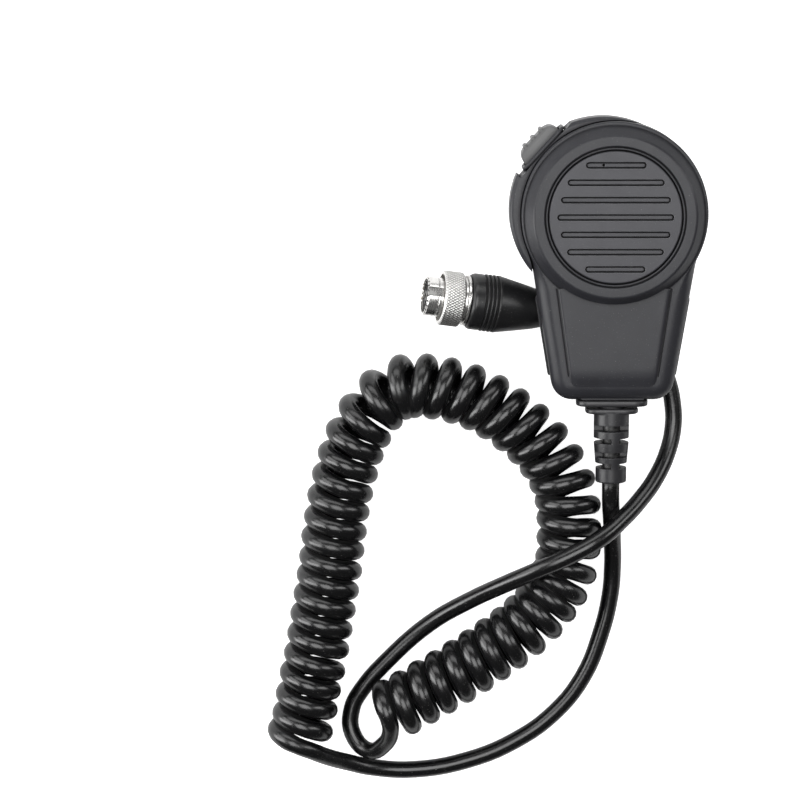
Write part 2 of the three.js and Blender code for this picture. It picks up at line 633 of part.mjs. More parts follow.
// The round shoulder that holds the button, as a solid
function hump(inset, topZ) {
  const profile = HUMP_LOW_ROUND.map(([into, up]) => [HUMP_R - into - inset, HUMP_LOW_Z + up + inset]);
  const rounded = HUMP_TOP_ROUND.map(([into, down]) => [HUMP_R - into, topZ - down]);
  const shoulder = inset > 0 ? [[HUMP_R - inset, topZ]] : rounded;
  const kept = profile.filter(([, z]) => z < rounded[0][1]);
  const top = shoulder[shoulder.length - 1][1];
  const round = turned([[0, kept[0][1]], ...kept, ...shoulder, [0, top]], HEAD_SIDES);
  const button = block([HUMP_START, -HEAD_R * 2, 0], [HEAD_R * 2, HEAD_R * 2, HUMP_TOP_Z + PAST]);
  round.translate(HUMP_SHIFT.x, HUMP_SHIFT.y, 0);
  return toGeometry(toSolid(round).intersect(toSolid(button.rotateZ(PTT_ANGLE))));
}

function rearShell() {
  const top = SEAM_Z - GAP / 2;
  const frontRoom = outlineLoft([[top, -GAP, -GAP], [RING_TOP_Z, -GAP, -GAP]]);
  const spout = cordSpout(RELIEF_Z - SPOUT.height / 2, top);
  const skin = join(backBowl(0, top), hump(0, HUMP_TOP_Z), spout);
  const hollowed = cut(skin, frontRoom, backBowl(WALL, top + PAST), hump(WALL, top - WALL));

  const floor = BACK_Z + WALL - BOSS_SINK;
  const lowerFloor = floor + LOWER_BACK_RISE;
  const seats = SHELL_SCREWS.flatMap(({ x, y, seat }) => [
    rod(SEAT_BOSS_R, seat - SEAT_BOSS_DEPTH, seat + BOSS_WALL, x, y),
    rod(FRONT_BOSS_R, seat, top, x, y),
  ]);
  const standoffs = boardScrewPlaces().map(([x, y]) => {
    return rod(SMALL_SCREW_R + GAP + BOSS_WALL, floor, BOARD_BACK_Z - GAP, x, y);
  });
  const posts = [-CLAMP_SCREW_X, CLAMP_SCREW_X].map((x) => {
    const postTop = RELIEF_Z - clampFoot() - GAP;
    return rod(SMALL_SCREW_R + GAP + BOSS_WALL, lowerFloor, postTop, x, CLAMP_Y);
  });
  const cradleTop = RELIEF_Z - CORD_R - GAP;
  const [front, back] = [CLAMP_Y - CRADLE_THICKNESS / 2, CLAMP_Y + CRADLE_THICKNESS / 2];
  const cradle = block([-CORD_R, front, lowerFloor], [CORD_R, back, cradleTop]);
  const bossed = [...seats, ...standoffs, ...posts, cradle].reduce((sum, boss) => {
    return sum.add(toSolid(boss));
  }, hollowed);

  const screwHoles = SHELL_SCREWS.flatMap(({ x, y, seat }) => [
    rod(SEAT_R, 0, seat, x, y),
    rod(SCREW_HOLE_R, seat - PAST, top + PAST, x, y),
  ]);
  const smallHoles = [
    ...boardScrewPlaces().map(([x, y]) => rod(SMALL_SCREW_R + GAP, floor, SEAM_Z, x, y)),
    ...[-CLAMP_SCREW_X, CLAMP_SCREW_X].map((x) => {
      return rod(SMALL_SCREW_R + GAP, lowerFloor, SEAM_Z, x, CLAMP_Y);
    }),
  ];
  const hangHole = rod(HANG_SCREW_R + GAP, 0, BACK_Z + WALL + PAST);
  const openings = [bezelOpening(), bezelFlangeRoom(), reliefHole(), hangHole];
  return toGeometry(cut(bossed, ...screwHoles, ...smallHoles, ...openings));
}

// ---- Grille and what hears through it ----------------------------------------------

function grilleDisc() {
  const disc = turned([
    [0, DISC_BACK_Z], [DISC_R, DISC_BACK_Z], [DISC_R, DISC_TOP_Z - DISC_EDGE],
    [DISC_R - DISC_EDGE, DISC_TOP_Z], [0, DISC_TOP_Z],
  ], HEAD_SIDES).translate(0, GRILLE_Y, 0);
  const slots = SLOT_LENGTHS.map((length, i) => {
    const slot = roundedPlate(length, SLOT_HEIGHT, SLOT_HEIGHT / 2, SLOT_DEPTH + PAST);
    return slot.translate(0, TOP_SLOT_Y - i * SLOT_PITCH, DISC_TOP_Z - SLOT_DEPTH);
  });
  const port = rod(PORT_R, DISC_BACK_Z - PAST, DISC_TOP_Z, PORT_X, TOP_SLOT_Y, SMALL_SIDES.sheath);
  return toGeometry(cut(toSolid(disc), ...slots, port));
}

function capsuleHolder() {
  const outer = CAPSULE_R + GAP + HOLDER_WALL;
  const inner = CAPSULE_R + GAP;
  const top = CAPSULE_TOP_Z;
  const seat = top - CAPSULE_H;
  const back = seat - GAP - HOLDER_FLOOR;
  return turned([[0, back], [outer, back], [outer, top], [inner, top], [inner, seat - GAP],
    [0, seat - GAP]], SMALL_SIDES.holder);
}

// ---- Screws, button and board ------------------------------------------------------

// A screw whose head, with its driver recess, lies below z = 0 and whose shank goes up
function screw(radius, headR, headH, length) {
  return turned([[0, -headH / 2], [headR / 2, -headH], [headR - SCREW_HEAD_EDGE, -headH],
    [headR, SCREW_HEAD_EDGE - headH], [headR, 0], [radius, 0], [radius, length - radius],
    [0, length]], SMALL_SIDES.screw);
}

function hangUpButton() {
  const holeTop = BACK_Z - GAP;
  const bore = HANG_SCREW_R + GAP;
  return turned([[0, 0], [HANG_R - HANG_EDGE.face, 0], [HANG_R, HANG_EDGE.face],
    [HANG_R, HANG_HEAD_H - HANG_EDGE.back], [HANG_R - HANG_EDGE.back, HANG_HEAD_H],
    [HANG_NECK_R, HANG_HEAD_H + HANG_CONE.neck], [HANG_NECK_R, holeTop], [bore, holeTop],
    [bore, HANG_HEAD_H], [0, HANG_HEAD_H - HANG_CONE.bore]], SMALL_SIDES.button);
}

function boardScrewPlaces() {
  return BOARD_SCREW_ANGLES.map((angle) => {
    return [BOARD_SCREW_R * Math.cos(angle), BOARD_SCREW_R * Math.sin(angle)];
  });
}

function circuitBoard() {
  const board = toSolid(rod(BOARD_R, BOARD_BACK_Z, BOARD_TOP_Z));
  const holes = boardScrewPlaces().map(([x, y]) => {
    return rod(SMALL_SCREW_R + GAP, BOARD_BACK_Z - PAST, BOARD_TOP_Z + PAST, x, y);
  });
  const middle = rod(BOARD_HOLE_R, BOARD_BACK_Z - PAST, BOARD_TOP_Z + PAST);
  return toGeometry(cut(board, middle, ...holes));
}

// ---- Push-to-talk pieces, in the button's own directions ---------------------------

// A rounded plate that stands across the button's direction, from one distance to another
function pttPlate(length, height, radius, from, to) {
  const plate = roundedPlate(height, length, radius, to - from);
  return plate.rotateY(Math.PI / 2).translate(from, 0, 0);
}

function pttBezel() {
  const [inner, seat, face] = [HEAD_R - PTT_LIP.inset, HEAD_R + GAP * 2, HEAD_R + BEZEL_OUT];
  const [length, height] = [PTT_LENGTH + 2 * SLEEVE_RIM, PTT_HEIGHT + 2 * SLEEVE_RIM];
  const sleeve = pttPlate(length, height, BEZEL_CORNER.sleeve, inner, face);
  const flange = pttPlate(BEZEL_LENGTH, BEZEL_HEIGHT, BEZEL_CORNER.flange, seat, face);
  const room = 2 * SLIDE_GAP;
  const way = pttPlate(PTT_LENGTH + room, PTT_HEIGHT + room, SHARP, inner - PAST, face + PAST);
  return toGeometry(join(sleeve, flange).subtract(toSolid(way)));
}

function pttButton() {
  const lipFront = HEAD_R - PTT_LIP.inset - GAP;
  const lipBack = lipFront - PTT_LIP.thickness;
  const face = HEAD_R + PTT_FACE_OUT;
  const [edge, half] = [face - PTT_BULGE, PTT_LENGTH / 2];
  const profile = new THREE.Shape();
  profile.moveTo(lipFront - SINK, -half);
  profile.lineTo(edge - PTT_ROUND, -half);
  profile.quadraticCurveTo(edge, -half, edge, PTT_ROUND - half);
  profile.quadraticCurveTo(face + PTT_BULGE, 0, edge, half - PTT_ROUND);
  profile.quadraticCurveTo(edge, half, edge - PTT_ROUND, half);
  profile.lineTo(lipFront - SINK, half);
  const cap = new THREE.ExtrudeGeometry(profile, {
    depth: PTT_HEIGHT, bevelEnabled: false, curveSegments: 6,
  }).translate(0, 0, -PTT_HEIGHT / 2);
  const [lipLength, lipHeight] = [PTT_LENGTH + SLEEVE_RIM, PTT_HEIGHT + SLEEVE_RIM];
  const lip = pttPlate(lipLength, lipHeight, PTT_LIP.corner, lipBack, lipFront);
  const stemEnd = SWITCH_FACE + PLUNGER_OUT + GAP;
  const stem = rod(STEM_R, stemEnd, lipBack + SINK).rotateY(Math.PI / 2);
  const ribs = Array.from({ length: RIB_COUNT }, (_, i) => {
    const y = (i - (RIB_COUNT - 1) / 2) * RIB_PITCH;
    const ribHalf = PTT_HEIGHT / 2 - RIB_INSET;
    return rod(RIB_SIZE, -ribHalf, ribHalf, edge, y, SMALL_SIDES.hole);
  });
  return toGeometry(join(cap, lip, stem, ...ribs));
}

function pttSwitch() {
  const back = SWITCH_FACE - SWITCH_DEPTH;
  const body = block([back, -SWITCH_LENGTH / 2, -SWITCH_HEIGHT / 2],
    [SWITCH_FACE, SWITCH_LENGTH / 2, SWITCH_HEIGHT / 2]);
  const depth = PLUNGER_R * 2 + PTT_TRAVEL + GAP;
  const bore = rod(PLUNGER_R + SLIDE_GAP, SWITCH_FACE - depth, SWITCH_FACE + PAST);
  bore.rotateY(Math.PI / 2);
  return toGeometry(toSolid(body).subtract(toSolid(bore)));
}

function switchPlunger() {
  const inside = PLUNGER_R * 2;
  return rod(PLUNGER_R, SWITCH_FACE - inside, SWITCH_FACE + PLUNGER_OUT).rotateY(Math.PI / 2);
}

// ---- Strain relief and cable clamp -------------------------------------------------

// A rounded plate across the cord, from one distance below the housing to another
function reliefPlate({ width, height = FLANGE_HEIGHT, thickness }, fromY, radius) {
  const plate = roundedPlate(width, height, radius, thickness);
  return plate.rotateX(Math.PI / 2).translate(0, fromY, RELIEF_Z);
}

function strainRelief() {
  const secondY = RELIEF_Y - FLANGE_1.thickness - FLANGE_STEP;
  const middleR = (2 * RELIEF_R + RELIEF_END_R) / 3;
  const bar = turned([[0, -RELIEF_LENGTH], [RELIEF_END_R, -RELIEF_LENGTH],
    [RELIEF_END_R, -RELIEF_TAPER.end], [middleR, -RELIEF_TAPER.middle],
    [RELIEF_R, -RELIEF_TAPER.start], [RELIEF_R, 0], [0, 0]], SMALL_SIDES.bar);
  bar.rotateX(-Math.PI / 2).translate(0, TUBE_Y, RELIEF_Z);
  const notches = NOTCHES.flatMap(({ from, to, axis }) => [-1, 1].map((side) => {
    const far = RELIEF_R + PAST;
    const span = side > 0 ? [NOTCH_IN, far] : [-far, -NOTCH_IN];
    const [x, z] = axis === 'x' ? [span, [-far, far]] : [[-far, far], span];
    return block([x[0], TUBE_Y - to, RELIEF_Z + z[0]], [x[1], TUBE_Y - from, RELIEF_Z + z[1]]);
  }));
  const neck = rod(RELIEF_NECK_R, TUBE_Y, ANCHOR_Y).rotateX(-Math.PI / 2);
  neck.translate(0, 0, RELIEF_Z);
  const plates = [reliefPlate(ANCHOR, ANCHOR_Y, ANCHOR.corner),
    reliefPlate(FLANGE_1, RELIEF_Y, FLANGE_CORNER), reliefPlate(FLANGE_2, secondY, FLANGE_CORNER)];
  return toGeometry(cut(toSolid(bar), ...notches).add(join(neck, ...plates)));
}

const clampFoot = () => CORD_R / 2;

// The saddle that holds the cord's end down, drawn across the cord
function cableClamp() {
  const [inner, outer, foot] = [CORD_R + GAP, CORD_R + GAP + CLAMP_THICKNESS, clampFoot()];
  const shelf = CLAMP_THICKNESS - foot;
  const innerAngle = Math.asin(foot / inner);
  const outerAngle = Math.asin(shelf / outer);
  const shape = new THREE.Shape();
  shape.moveTo(-CLAMP_WIDTH / 2, -foot);
  shape.absarc(0, 0, inner, Math.PI + innerAngle, -innerAngle, true);
  shape.lineTo(CLAMP_WIDTH / 2, -foot);
  shape.lineTo(CLAMP_WIDTH / 2, shelf);
  shape.absarc(0, 0, outer, outerAngle, Math.PI - outerAngle, false);
  shape.lineTo(-CLAMP_WIDTH / 2, shelf);
  const saddle = new THREE.ExtrudeGeometry(shape, {
    depth: CLAMP_DEPTH, bevelEnabled: false, curveSegments: 10,
  }).rotateX(Math.PI / 2).translate(0, CLAMP_Y + CLAMP_DEPTH / 2, RELIEF_Z);
  const holes = [-CLAMP_SCREW_X, CLAMP_SCREW_X].map((x) => {
    return rod(SMALL_SCREW_R + GAP, RELIEF_Z - foot - PAST, RELIEF_Z + shelf + PAST, x, CLAMP_Y);
  });
  return toGeometry(cut(toSolid(saddle), ...holes));
}

// ---- Plug, along +Z from the boot's wide end ---------------------------------------

function plugBoot() {
  const tail = -BOOT_LENGTH;
  return turned([[0, tail], [BOOT_TAIL_R - BOOT_EDGE, tail], [BOOT_TAIL_R, tail + BOOT_EDGE],
    ...BOOT_TAPER.map(([radius, back]) => [radius, -back]), [BOOT_R, -BOOT_STRAIGHT],
    [BOOT_R, -BOOT_EDGE], [BOOT_R - BOOT_EDGE, 0], [BOOT_R - BOOT_WALL, 0],
    [BOOT_R - BOOT_WALL, -SLEEVE_LENGTH - GAP], [0, -SLEEVE_LENGTH - GAP]]);
}

function plugCollar() {
  const bore = BARREL_R + GAP;
  return turnedRing([[bore, GAP], [COLLAR_R, GAP], [COLLAR_R, GAP + COLLAR_WIDTH],
    [bore, GAP + COLLAR_WIDTH]]);
}

const NUT_BACK = GAP + COLLAR_WIDTH + GAP;
const BARREL_LIP_V = NUT_BACK + RING_NUT_LIP + GAP;

function couplingRing() {
  const front = NUT_BACK + RING_NUT_WIDTH;
  const thread = RING_NUT_R - RING_NUT_WALL;
  const bore = BARREL_R + SLIDE_GAP;
  const toothed = new THREE.ExtrudeGeometry(
    polygonShape(2 * KNURL_COUNT, (i) => RING_NUT_R - (i % 2) * KNURL_DEPTH),
    { depth: RING_NUT_WIDTH, bevelEnabled: false },
  ).translate(0, 0, NUT_BACK);
  const outer = RING_NUT_R + SINK;
  const envelope = turnedRing([[bore, NUT_BACK], [outer - RING_NUT_EDGE, NUT_BACK],
    [outer, NUT_BACK + RING_NUT_EDGE], [outer, front - RING_NUT_EDGE],
    [outer - RING_NUT_EDGE, front], [thread, front], [thread, NUT_BACK + RING_NUT_LIP],
    [bore, NUT_BACK + RING_NUT_LIP]]);
  return toGeometry(toSolid(toothed).intersect(toSolid(envelope)));
}

function plugBarrel() {
  const bore = BARREL_R - BARREL_WALL;
  const insertBack = BARREL_LENGTH - INSERT_RECESS - INSERT_LENGTH;
  const lipR = RING_NUT_R - RING_NUT_WALL - SLIDE_GAP;
  const sleeveR = BOOT_R - BOOT_WALL - GAP;
  const ledge = bore - INSERT_LEDGE;
  const lipEnd = BARREL_LIP_V + BARREL_LIP;
  const shell = turnedRing([
    [ledge, -SLEEVE_LENGTH], [sleeveR, -SLEEVE_LENGTH], [sleeveR, 0], [BARREL_R, GAP],
    [BARREL_R, BARREL_LIP_V], [lipR, BARREL_LIP_V], [lipR, lipEnd], [BARREL_R, lipEnd],
    [BARREL_R, BARREL_LENGTH - BARREL_EDGE], [BARREL_R - BARREL_EDGE, BARREL_LENGTH],
    [bore, BARREL_LENGTH], [bore, insertBack - GAP], [ledge, insertBack - GAP]]);
  const half = KEYWAY_WIDTH / 2;
  const keyway = block([BARREL_R - KEYWAY_DEPTH, -half, BARREL_LENGTH - KEYWAY_LENGTH],
    [BARREL_R + PAST, half, BARREL_LENGTH + PAST]).rotateZ(KEYWAY_TURN);
  return toGeometry(cut(toSolid(shell), keyway));
}

function contactPlaces() {
  const around = Array.from({ length: CONTACTS_AROUND }, (_, i) => {
    const angle = 2 * Math.PI * (i + 0.5) / CONTACTS_AROUND;
    return [CONTACT_CIRCLE_R * Math.cos(angle), CONTACT_CIRCLE_R * Math.sin(angle)];
  });
  return [[0, 0], ...around];
}

function plugInsert() {
  const front = BARREL_LENGTH - INSERT_RECESS;
  const back = front - INSERT_LENGTH;
  const body = toSolid(rod(BARREL_R - BARREL_WALL - GAP, back, front, 0, 0, SMALL_SIDES.button));
  const holes = contactPlaces().map(([x, y]) => {
    return rod(CONTACT_R + GAP, back - PAST, front + PAST, x, y, SMALL_SIDES.hole);
  });
  return toGeometry(cut(body, ...holes));
}

function plugContact() {
  const front = BARREL_LENGTH - INSERT_RECESS - GAP;
  const back = front - INSERT_LENGTH - CONTACT_TAIL;
  return turnedRing([[CONTACT_BORE_R, back], [CONTACT_R, back], [CONTACT_R, front],
    [CONTACT_BORE_R, front]], SMALL_SIDES.hole);
}

// ---- Putting it together -----------------------------------------------------------

const group = new THREE.Group();

function add(...meshes) {
  group.add(...meshes);
}

// Housing and grille
add(named('front_shell', frontShell(), shellPlastic));
add(named('back_shell', rearShell(), shellPlastic));
add(named('grille_disc', grilleDisc(), grillePlastic));
const feltDisc = rod(OPENING_R - GAP, FELT_BACK_Z, DISC_BACK_Z - GAP, 0, GRILLE_Y);
add(named('grille_felt', feltDisc, felt));
add(at(named('capsule_holder', capsuleHolder(), darkRubber), PORT_X, TOP_SLOT_Y, 0));
const capsuleBack = CAPSULE_TOP_Z - CAPSULE_H;
const capsule = rod(CAPSULE_R, capsuleBack, CAPSULE_TOP_Z, PORT_X, TOP_SLOT_Y);
add(named('mic_capsule', capsule, steel));

// Shell screws, driven in from the back
const shellScrewLength = SEAM_Z + SHELL_SCREW_BITE;
SHELL_SCREWS.forEach(({ x, y, seat }, i) => {
  const length = shellScrewLength - seat;
  const geometry = screw(SHELL_SCREW_R, SHELL_SCREW_HEAD_R, SHELL_SCREW_HEAD_H, length);
  add(at(named(`shell_screw_${i + 1}`, geometry, steel), x, y, seat - GAP));
});

// Hang-up button, held by a screw and washer from inside
add(named('hang_up_button', hangUpButton(), nickel));
const washerZ = BACK_Z + WALL + GAP;
const washer = turnedRing([[HANG_SCREW_R + GAP, 0], [HANG_WASHER_R, 0],
  [HANG_WASHER_R, HANG_WASHER_H], [HANG_SCREW_R + GAP, HANG_WASHER_H]], SMALL_SIDES.button);
add(at(named('hang_up_washer', washer, steel), 0, 0, washerZ));
const hangSeat = washerZ + HANG_WASHER_H + GAP;
const hangLength = hangSeat - HANG_HEAD_H - GAP;
const hangScrew = screw(HANG_SCREW_R, HANG_SCREW_HEAD_R, HANG_SCREW_HEAD_H, hangLength);
hangScrew.rotateX(Math.PI);
add(at(named('hang_up_screw', hangScrew, steel), 0, 0, hangSeat));

// Circuit board with its screws, plug for the wires and the wires themselves
add(named('circuit_board', circuitBoard(), boardLaminate));
boardScrewPlaces().forEach(([x, y], i) => {
  const length = BOARD_TOP_Z + GAP - BACK_Z - WALL - GAP;
  const geometry = screw(SMALL_SCREW_R, SMALL_SCREW_HEAD_R, SMALL_SCREW_HEAD_H, length);
  geometry.rotateX(Math.PI);
  add(at(named(`board_screw_${i + 1}`, geometry, steel), x, y, BOARD_TOP_Z + GAP));
});
const headerY = -BOARD_R + HEADER_INSET;
const headerLow = BOARD_TOP_Z + GAP;
const header = block([-HEADER_SIZE.x / 2, headerY - HEADER_SIZE.y / 2, headerLow],
  [HEADER_SIZE.x / 2, headerY + HEADER_SIZE.y / 2, headerLow + HEADER_SIZE.z]);
add(named('wire_header', header, headerPlastic));
for (let i = 0; i < WIRE_COUNT; i++) {
  const place = i - (WIRE_COUNT - 1) / 2;
  const startY = SHEATH_END_Y + GAP;
  const endY = headerY - HEADER_SIZE.y / 2 - GAP;
  const endZ = headerLow + HEADER_SIZE.z / 2;
  const { clamp, bend, rise, header: end } = WIRE_SPREAD;
  const route = [[place * clamp, startY, RELIEF_Z], [place * bend, startY + 4, RELIEF_Z + 0.6],
    [place * rise, endY - 6, endZ + 1], [place * end, endY, endZ]];
  const wire = swept(route, WIRE_R, SMALL_SIDES.wire, 8);
  add(named(`wire_${i + 1}`, wire, finish(WIRE_COLOURS[i], 0.5)));
}
[-1, 1].forEach((side, i) => {
  const x = PORT_X + side * CAPSULE_WIRE_X;
  const holderBack = CAPSULE_TOP_Z - CAPSULE_H - GAP - HOLDER_FLOOR;
  const route = [[x, TOP_SLOT_Y, holderBack - GAP], [x + 0.8, TOP_SLOT_Y - 1.2, holderBack - 2.5],
    [x + 2, TOP_SLOT_Y - 3, BOARD_TOP_Z + GAP]];
  const wire = swept(route, WIRE_R, SMALL_SIDES.wire, 5);
  add(named(`capsule_wire_${i + 1}`, wire, finish(WIRE_COLOURS[i], 0.5)));
});

// Push-to-talk button, its bezel and the switch behind it
const pushToTalk = new THREE.Group();
pushToTalk.rotation.z = PTT_ANGLE;
pushToTalk.position.z = PTT_Z;
pushToTalk.add(named('ptt_bezel', pttBezel(), shellPlastic));
pushToTalk.add(named('ptt_button', pttButton(), buttonPlastic));
pushToTalk.add(named('ptt_switch', pttSwitch(), insertPlastic));
pushToTalk.add(named('ptt_plunger', switchPlunger(), headerPlastic));
group.add(pushToTalk);

// Where the cord comes in
add(named('strain_relief', strainRelief(), darkRubber));
const sheathStart = ANCHOR_Y + GAP;
const sheathLength = SHEATH_END_Y - sheathStart;
const sheath = new THREE.CylinderGeometry(CORD_R, CORD_R, sheathLength, SMALL_SIDES.sheath);
add(at(named('cord_sheath_end', sheath, cordJacket), 0, (sheathStart + SHEATH_END_Y) / 2, RELIEF_Z));
add(named('cable_clamp', cableClamp(), steel));
[-CLAMP_SCREW_X, CLAMP_SCREW_X].forEach((x, i) => {
  const seat = RELIEF_Z + CLAMP_THICKNESS - clampFoot() + GAP;
  const length = seat - BACK_Z - LOWER_BACK_RISE - WALL - GAP;
  const geometry = screw(SMALL_SCREW_R, SMALL_SCREW_HEAD_R, SMALL_SCREW_HEAD_H, length);
  geometry.rotateX(Math.PI);
  add(at(named(`clamp_screw_${i + 1}`, geometry, steel), x, CLAMP_Y, seat));
});

// The plug and what is in it
const plug = new THREE.Group();
const heading = new THREE.Vector3(
  Math.cos(PLUG_HEADING) * Math.cos(PLUG_TILT),
  Math.sin(PLUG_HEADING) * Math.cos(PLUG_TILT),
  Math.sin(PLUG_TILT),
);
plug.position.set(PLUG_X, PLUG_Y, PLUG_Z);
plug.quaternion.setFromUnitVectors(new THREE.Vector3(0, 0, 1), heading);
plug.add(named('plug_boot', plugBoot(), bootRubber));
plug.add(named('plug_collar', plugCollar(), nickel));
plug.add(named('coupling_ring', couplingRing(), nickel));
plug.add(named('plug_barrel', plugBarrel(), nickel));
plug.add(named('plug_insert', plugInsert(), insertPlastic));
contactPlaces().forEach(([x, y], i) => {
  plug.add(at(named(`plug_contact_${i + 1}`, plugContact(), gold), x, y, 0));
});
group.add(plug);

// The cord: a lead at each end and the coiled part between them
const bootTail = heading.clone().multiplyScalar(-BOOT_LENGTH - GAP).add(plug.position);
const plugLead = [...PLUG_LEAD, bootTail.toArray()];
const coilAxis = COIL_AXIS.map(([x, y]) => [x, y, COIL_Z]);
add(named('mic_lead', swept(MIC_LEAD, CORD_R, CORD_SIDES, 24), cordJacket));
add(named('curly_cord', swept(coilAxis, COIL_R, COIL_SIDES, 36), cordJacket));
add(named('plug_lead', swept(plugLead, CORD_R, CORD_SIDES, 40), cordJacket));

export default group;
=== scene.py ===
import math

import bmesh
import bpy
from mathutils import Matrix, Vector


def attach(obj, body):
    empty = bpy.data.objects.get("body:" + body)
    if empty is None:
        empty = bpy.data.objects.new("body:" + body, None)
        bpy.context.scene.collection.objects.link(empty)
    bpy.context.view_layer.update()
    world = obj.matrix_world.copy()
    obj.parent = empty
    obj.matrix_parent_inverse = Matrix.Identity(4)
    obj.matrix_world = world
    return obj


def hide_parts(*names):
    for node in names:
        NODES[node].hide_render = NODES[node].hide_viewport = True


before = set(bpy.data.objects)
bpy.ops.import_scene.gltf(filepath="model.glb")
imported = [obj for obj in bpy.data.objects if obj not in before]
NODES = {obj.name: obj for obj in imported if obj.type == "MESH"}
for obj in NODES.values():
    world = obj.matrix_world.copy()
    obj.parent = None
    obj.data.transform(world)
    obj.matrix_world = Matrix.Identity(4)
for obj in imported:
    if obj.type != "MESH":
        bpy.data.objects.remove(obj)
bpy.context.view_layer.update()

# ---- Camera ----
# Looks down on the grille from a little past the top of the head, with the whole cord
# in view below it.

lens = bpy.data.cameras.new("camera")
lens.lens = 138.15
lens.sensor_width = 36
camera = bpy.data.objects.new("camera", lens)
camera.location = (-0.07003, 0.09692, 1.02112)
camera.rotation_euler = (math.radians(-9), 0, 0)
bpy.context.scene.collection.objects.link(camera)
bpy.context.scene.camera = camera

# ---- Cord ----
# One length of round cable in a glossy black jacket, drawn smooth. Its middle part was
# wound on a rod and set with heat, so it stays a tight left-handed coil. It runs from
# the strain relief to the plug's boot and lies on the table.

MM = 0.001
CORD_RADIUS = 2.9
TURN_RADIUS = 7.75
POINTS_PER_TURN = 14
WOUND_SWELL = 1.1  # the jacket is a little fatter where it was wound
LYING = 2.95
COIL_MIDDLE = 11.0
HEADING_REACH = 0.1  # in turns, how far each way the coil's heading is taken from

# From inside the strain relief down to the table and round to the coil's first turn
MIC_LEAD = [
    (0, -65, 17.5), (0, -77, 17.5), (0, -89.7, 17.5), (0, -92.4, 17.4), (0.2, -97.5, 16),
    (0.8, -103.5, 12.2), (1.5, -111.5, 7.2), (1.9, -121, 3.8), (1.2, -131.5, LYING),
    (-1.8, -144.6, LYING), (-7.6, -159.5, LYING), (-17.3, -172.2, LYING),
    (-31, -182.3, LYING), (-46.9, -189, LYING), (-65, -192.3, 3), (-79.5, -191.2, 4.4),
    (-88.5, -188.2, 8), (-94.6, -185.2, 12.8), (-99.8, -182, 17),
]

# The coil's middle line, one place for the top of each turn
TURNS = [
    (-104.8, -179.6), (-102.9, -173.2), (-101.6, -166.2), (-100.4, -159.3),
    (-98.8, -152.3), (-97.6, -145.3), (-96.5, -138.5), (-95.4, -131.7), (-94.3, -125),
    (-93.3, -118.4), (-92.6, -111.7), (-91.7, -105), (-90.7, -98.2), (-89.3, -91.4),
    (-87.5, -84.4), (-85.3, -77.6), (-82, -70.7), (-76.8, -63.6), (-70.4, -59),
    (-63.6, -58.2), (-56.4, -59.1), (-49.2, -60.9), (-42.3, -63.7), (-36, -67.5),
    (-29.9, -72.1), (-24.3, -77.3), (-19.5, -83.4), (-15.9, -90.2), (-13.9, -97.5),
    (-13.4, -104.7), (-13.5, -111.8), (-14.1, -118.8), (-16.3, -124.9),
    (-19.3, -129.9), (-23.1, -135), (-27.8, -139.9), (-33.3, -144.4), (-38.8, -148.4),
    (-44.4, -152.3), (-50.1, -156), (-56.1, -159.7), (-62.1, -163.2), (-68.2, -166.8),
    (-74, -170),
]

# From the coil's last turn round a loop, up over the coil and back under the microphone
PLUG_LEAD = [
    (-73.2, -175.2, 16), (-75.2, -181, 11.4), (-80.6, -184.6, 7), (-86.2, -179.4, 4),
    (-86.4, -170.8, 3), (-82.9, -164, LYING), (-74.3, -154, LYING), (-59.9, -140.8, 4.2),
    (-46.4, -131.5, 10), (-35, -124.2, 18.2), (-23.6, -117.8, 24.2), (-13.7, -113, 25.6),
    (-3.8, -107.6, 24.2), (4, -101.8, 19.3), (10.1, -96.4, 14), (15.8, -89.5, 9.2),
    (20, -81, 5.4), (21.8, -72.8, 3.4), (21.6, -66, LYING), (20, -58.5, LYING),
    (16.5, -50.5, LYING), (11, -44, LYING), (3.5, -39.2, 3.2), (-5.5, -36.2, 4.6),
    (-15.4, -34.35, 5.85), (-18.4, -33.9, 6.35),
]


def between(places, where):
    """A point on the smooth line through the places, at a whole or part number of them."""
    first = min(int(where), len(places) - 2)
    t = where - first
    p1, p2 = Vector(places[first]), Vector(places[first + 1])
    p0 = Vector(places[first - 1]) if first > 0 else p1 * 2 - p2
    p3 = Vector(places[first + 2]) if first + 2 < len(places) else p2 * 2 - p1
    pull = (p2 - p0) * t + (p0 * 2 - p1 * 5 + p2 * 4 - p3) * t**2
    return p1 + (pull + (p1 * 3 - p2 * 3 + p3 - p0) * t**3) / 2


def coil_line():
    line = []
    for step in range((len(TURNS) - 1) * POINTS_PER_TURN + 1):
        where = step / POINTS_PER_TURN
        middle = between(TURNS, where)
        ahead, behind = min(where + HEADING_REACH, len(TURNS) - 1), max(where - HEADING_REACH, 0)
        along = between(TURNS, ahead) - between(TURNS, behind)
        across = Vector((-along.y, along.x)).normalized()
        turn = 2 * math.pi * where
        side = TURN_RADIUS * math.sin(turn)
        up = TURN_RADIUS * math.cos(turn)
        line.append((middle.x + across.x * side, middle.y + across.y * side, COIL_MIDDLE + up))
    return line


def lay_cord():
    points = MIC_LEAD + coil_line() + PLUG_LEAD
    curve = bpy.data.curves.new("cord", "CURVE")
    curve.dimensions = "3D"
    curve.bevel_depth = CORD_RADIUS * MM
    curve.bevel_resolution = 5
    curve.resolution_u = 5
    curve.use_fill_caps = True
    line = curve.splines.new("BEZIER")
    line.bezier_points.add(len(points) - 1)
    for i, (spot, place) in enumerate(zip(line.bezier_points, points)):
        spot.co = Vector(place) * MM
        wound = len(MIC_LEAD) < i < len(points) - len(PLUG_LEAD) - 1
        spot.radius = WOUND_SWELL if wound else 1.0
        spot.handle_left_type = spot.handle_right_type = "AUTO"
    made = bpy.data.objects.new("cord", curve)
    bpy.context.scene.collection.objects.link(made)
    return made


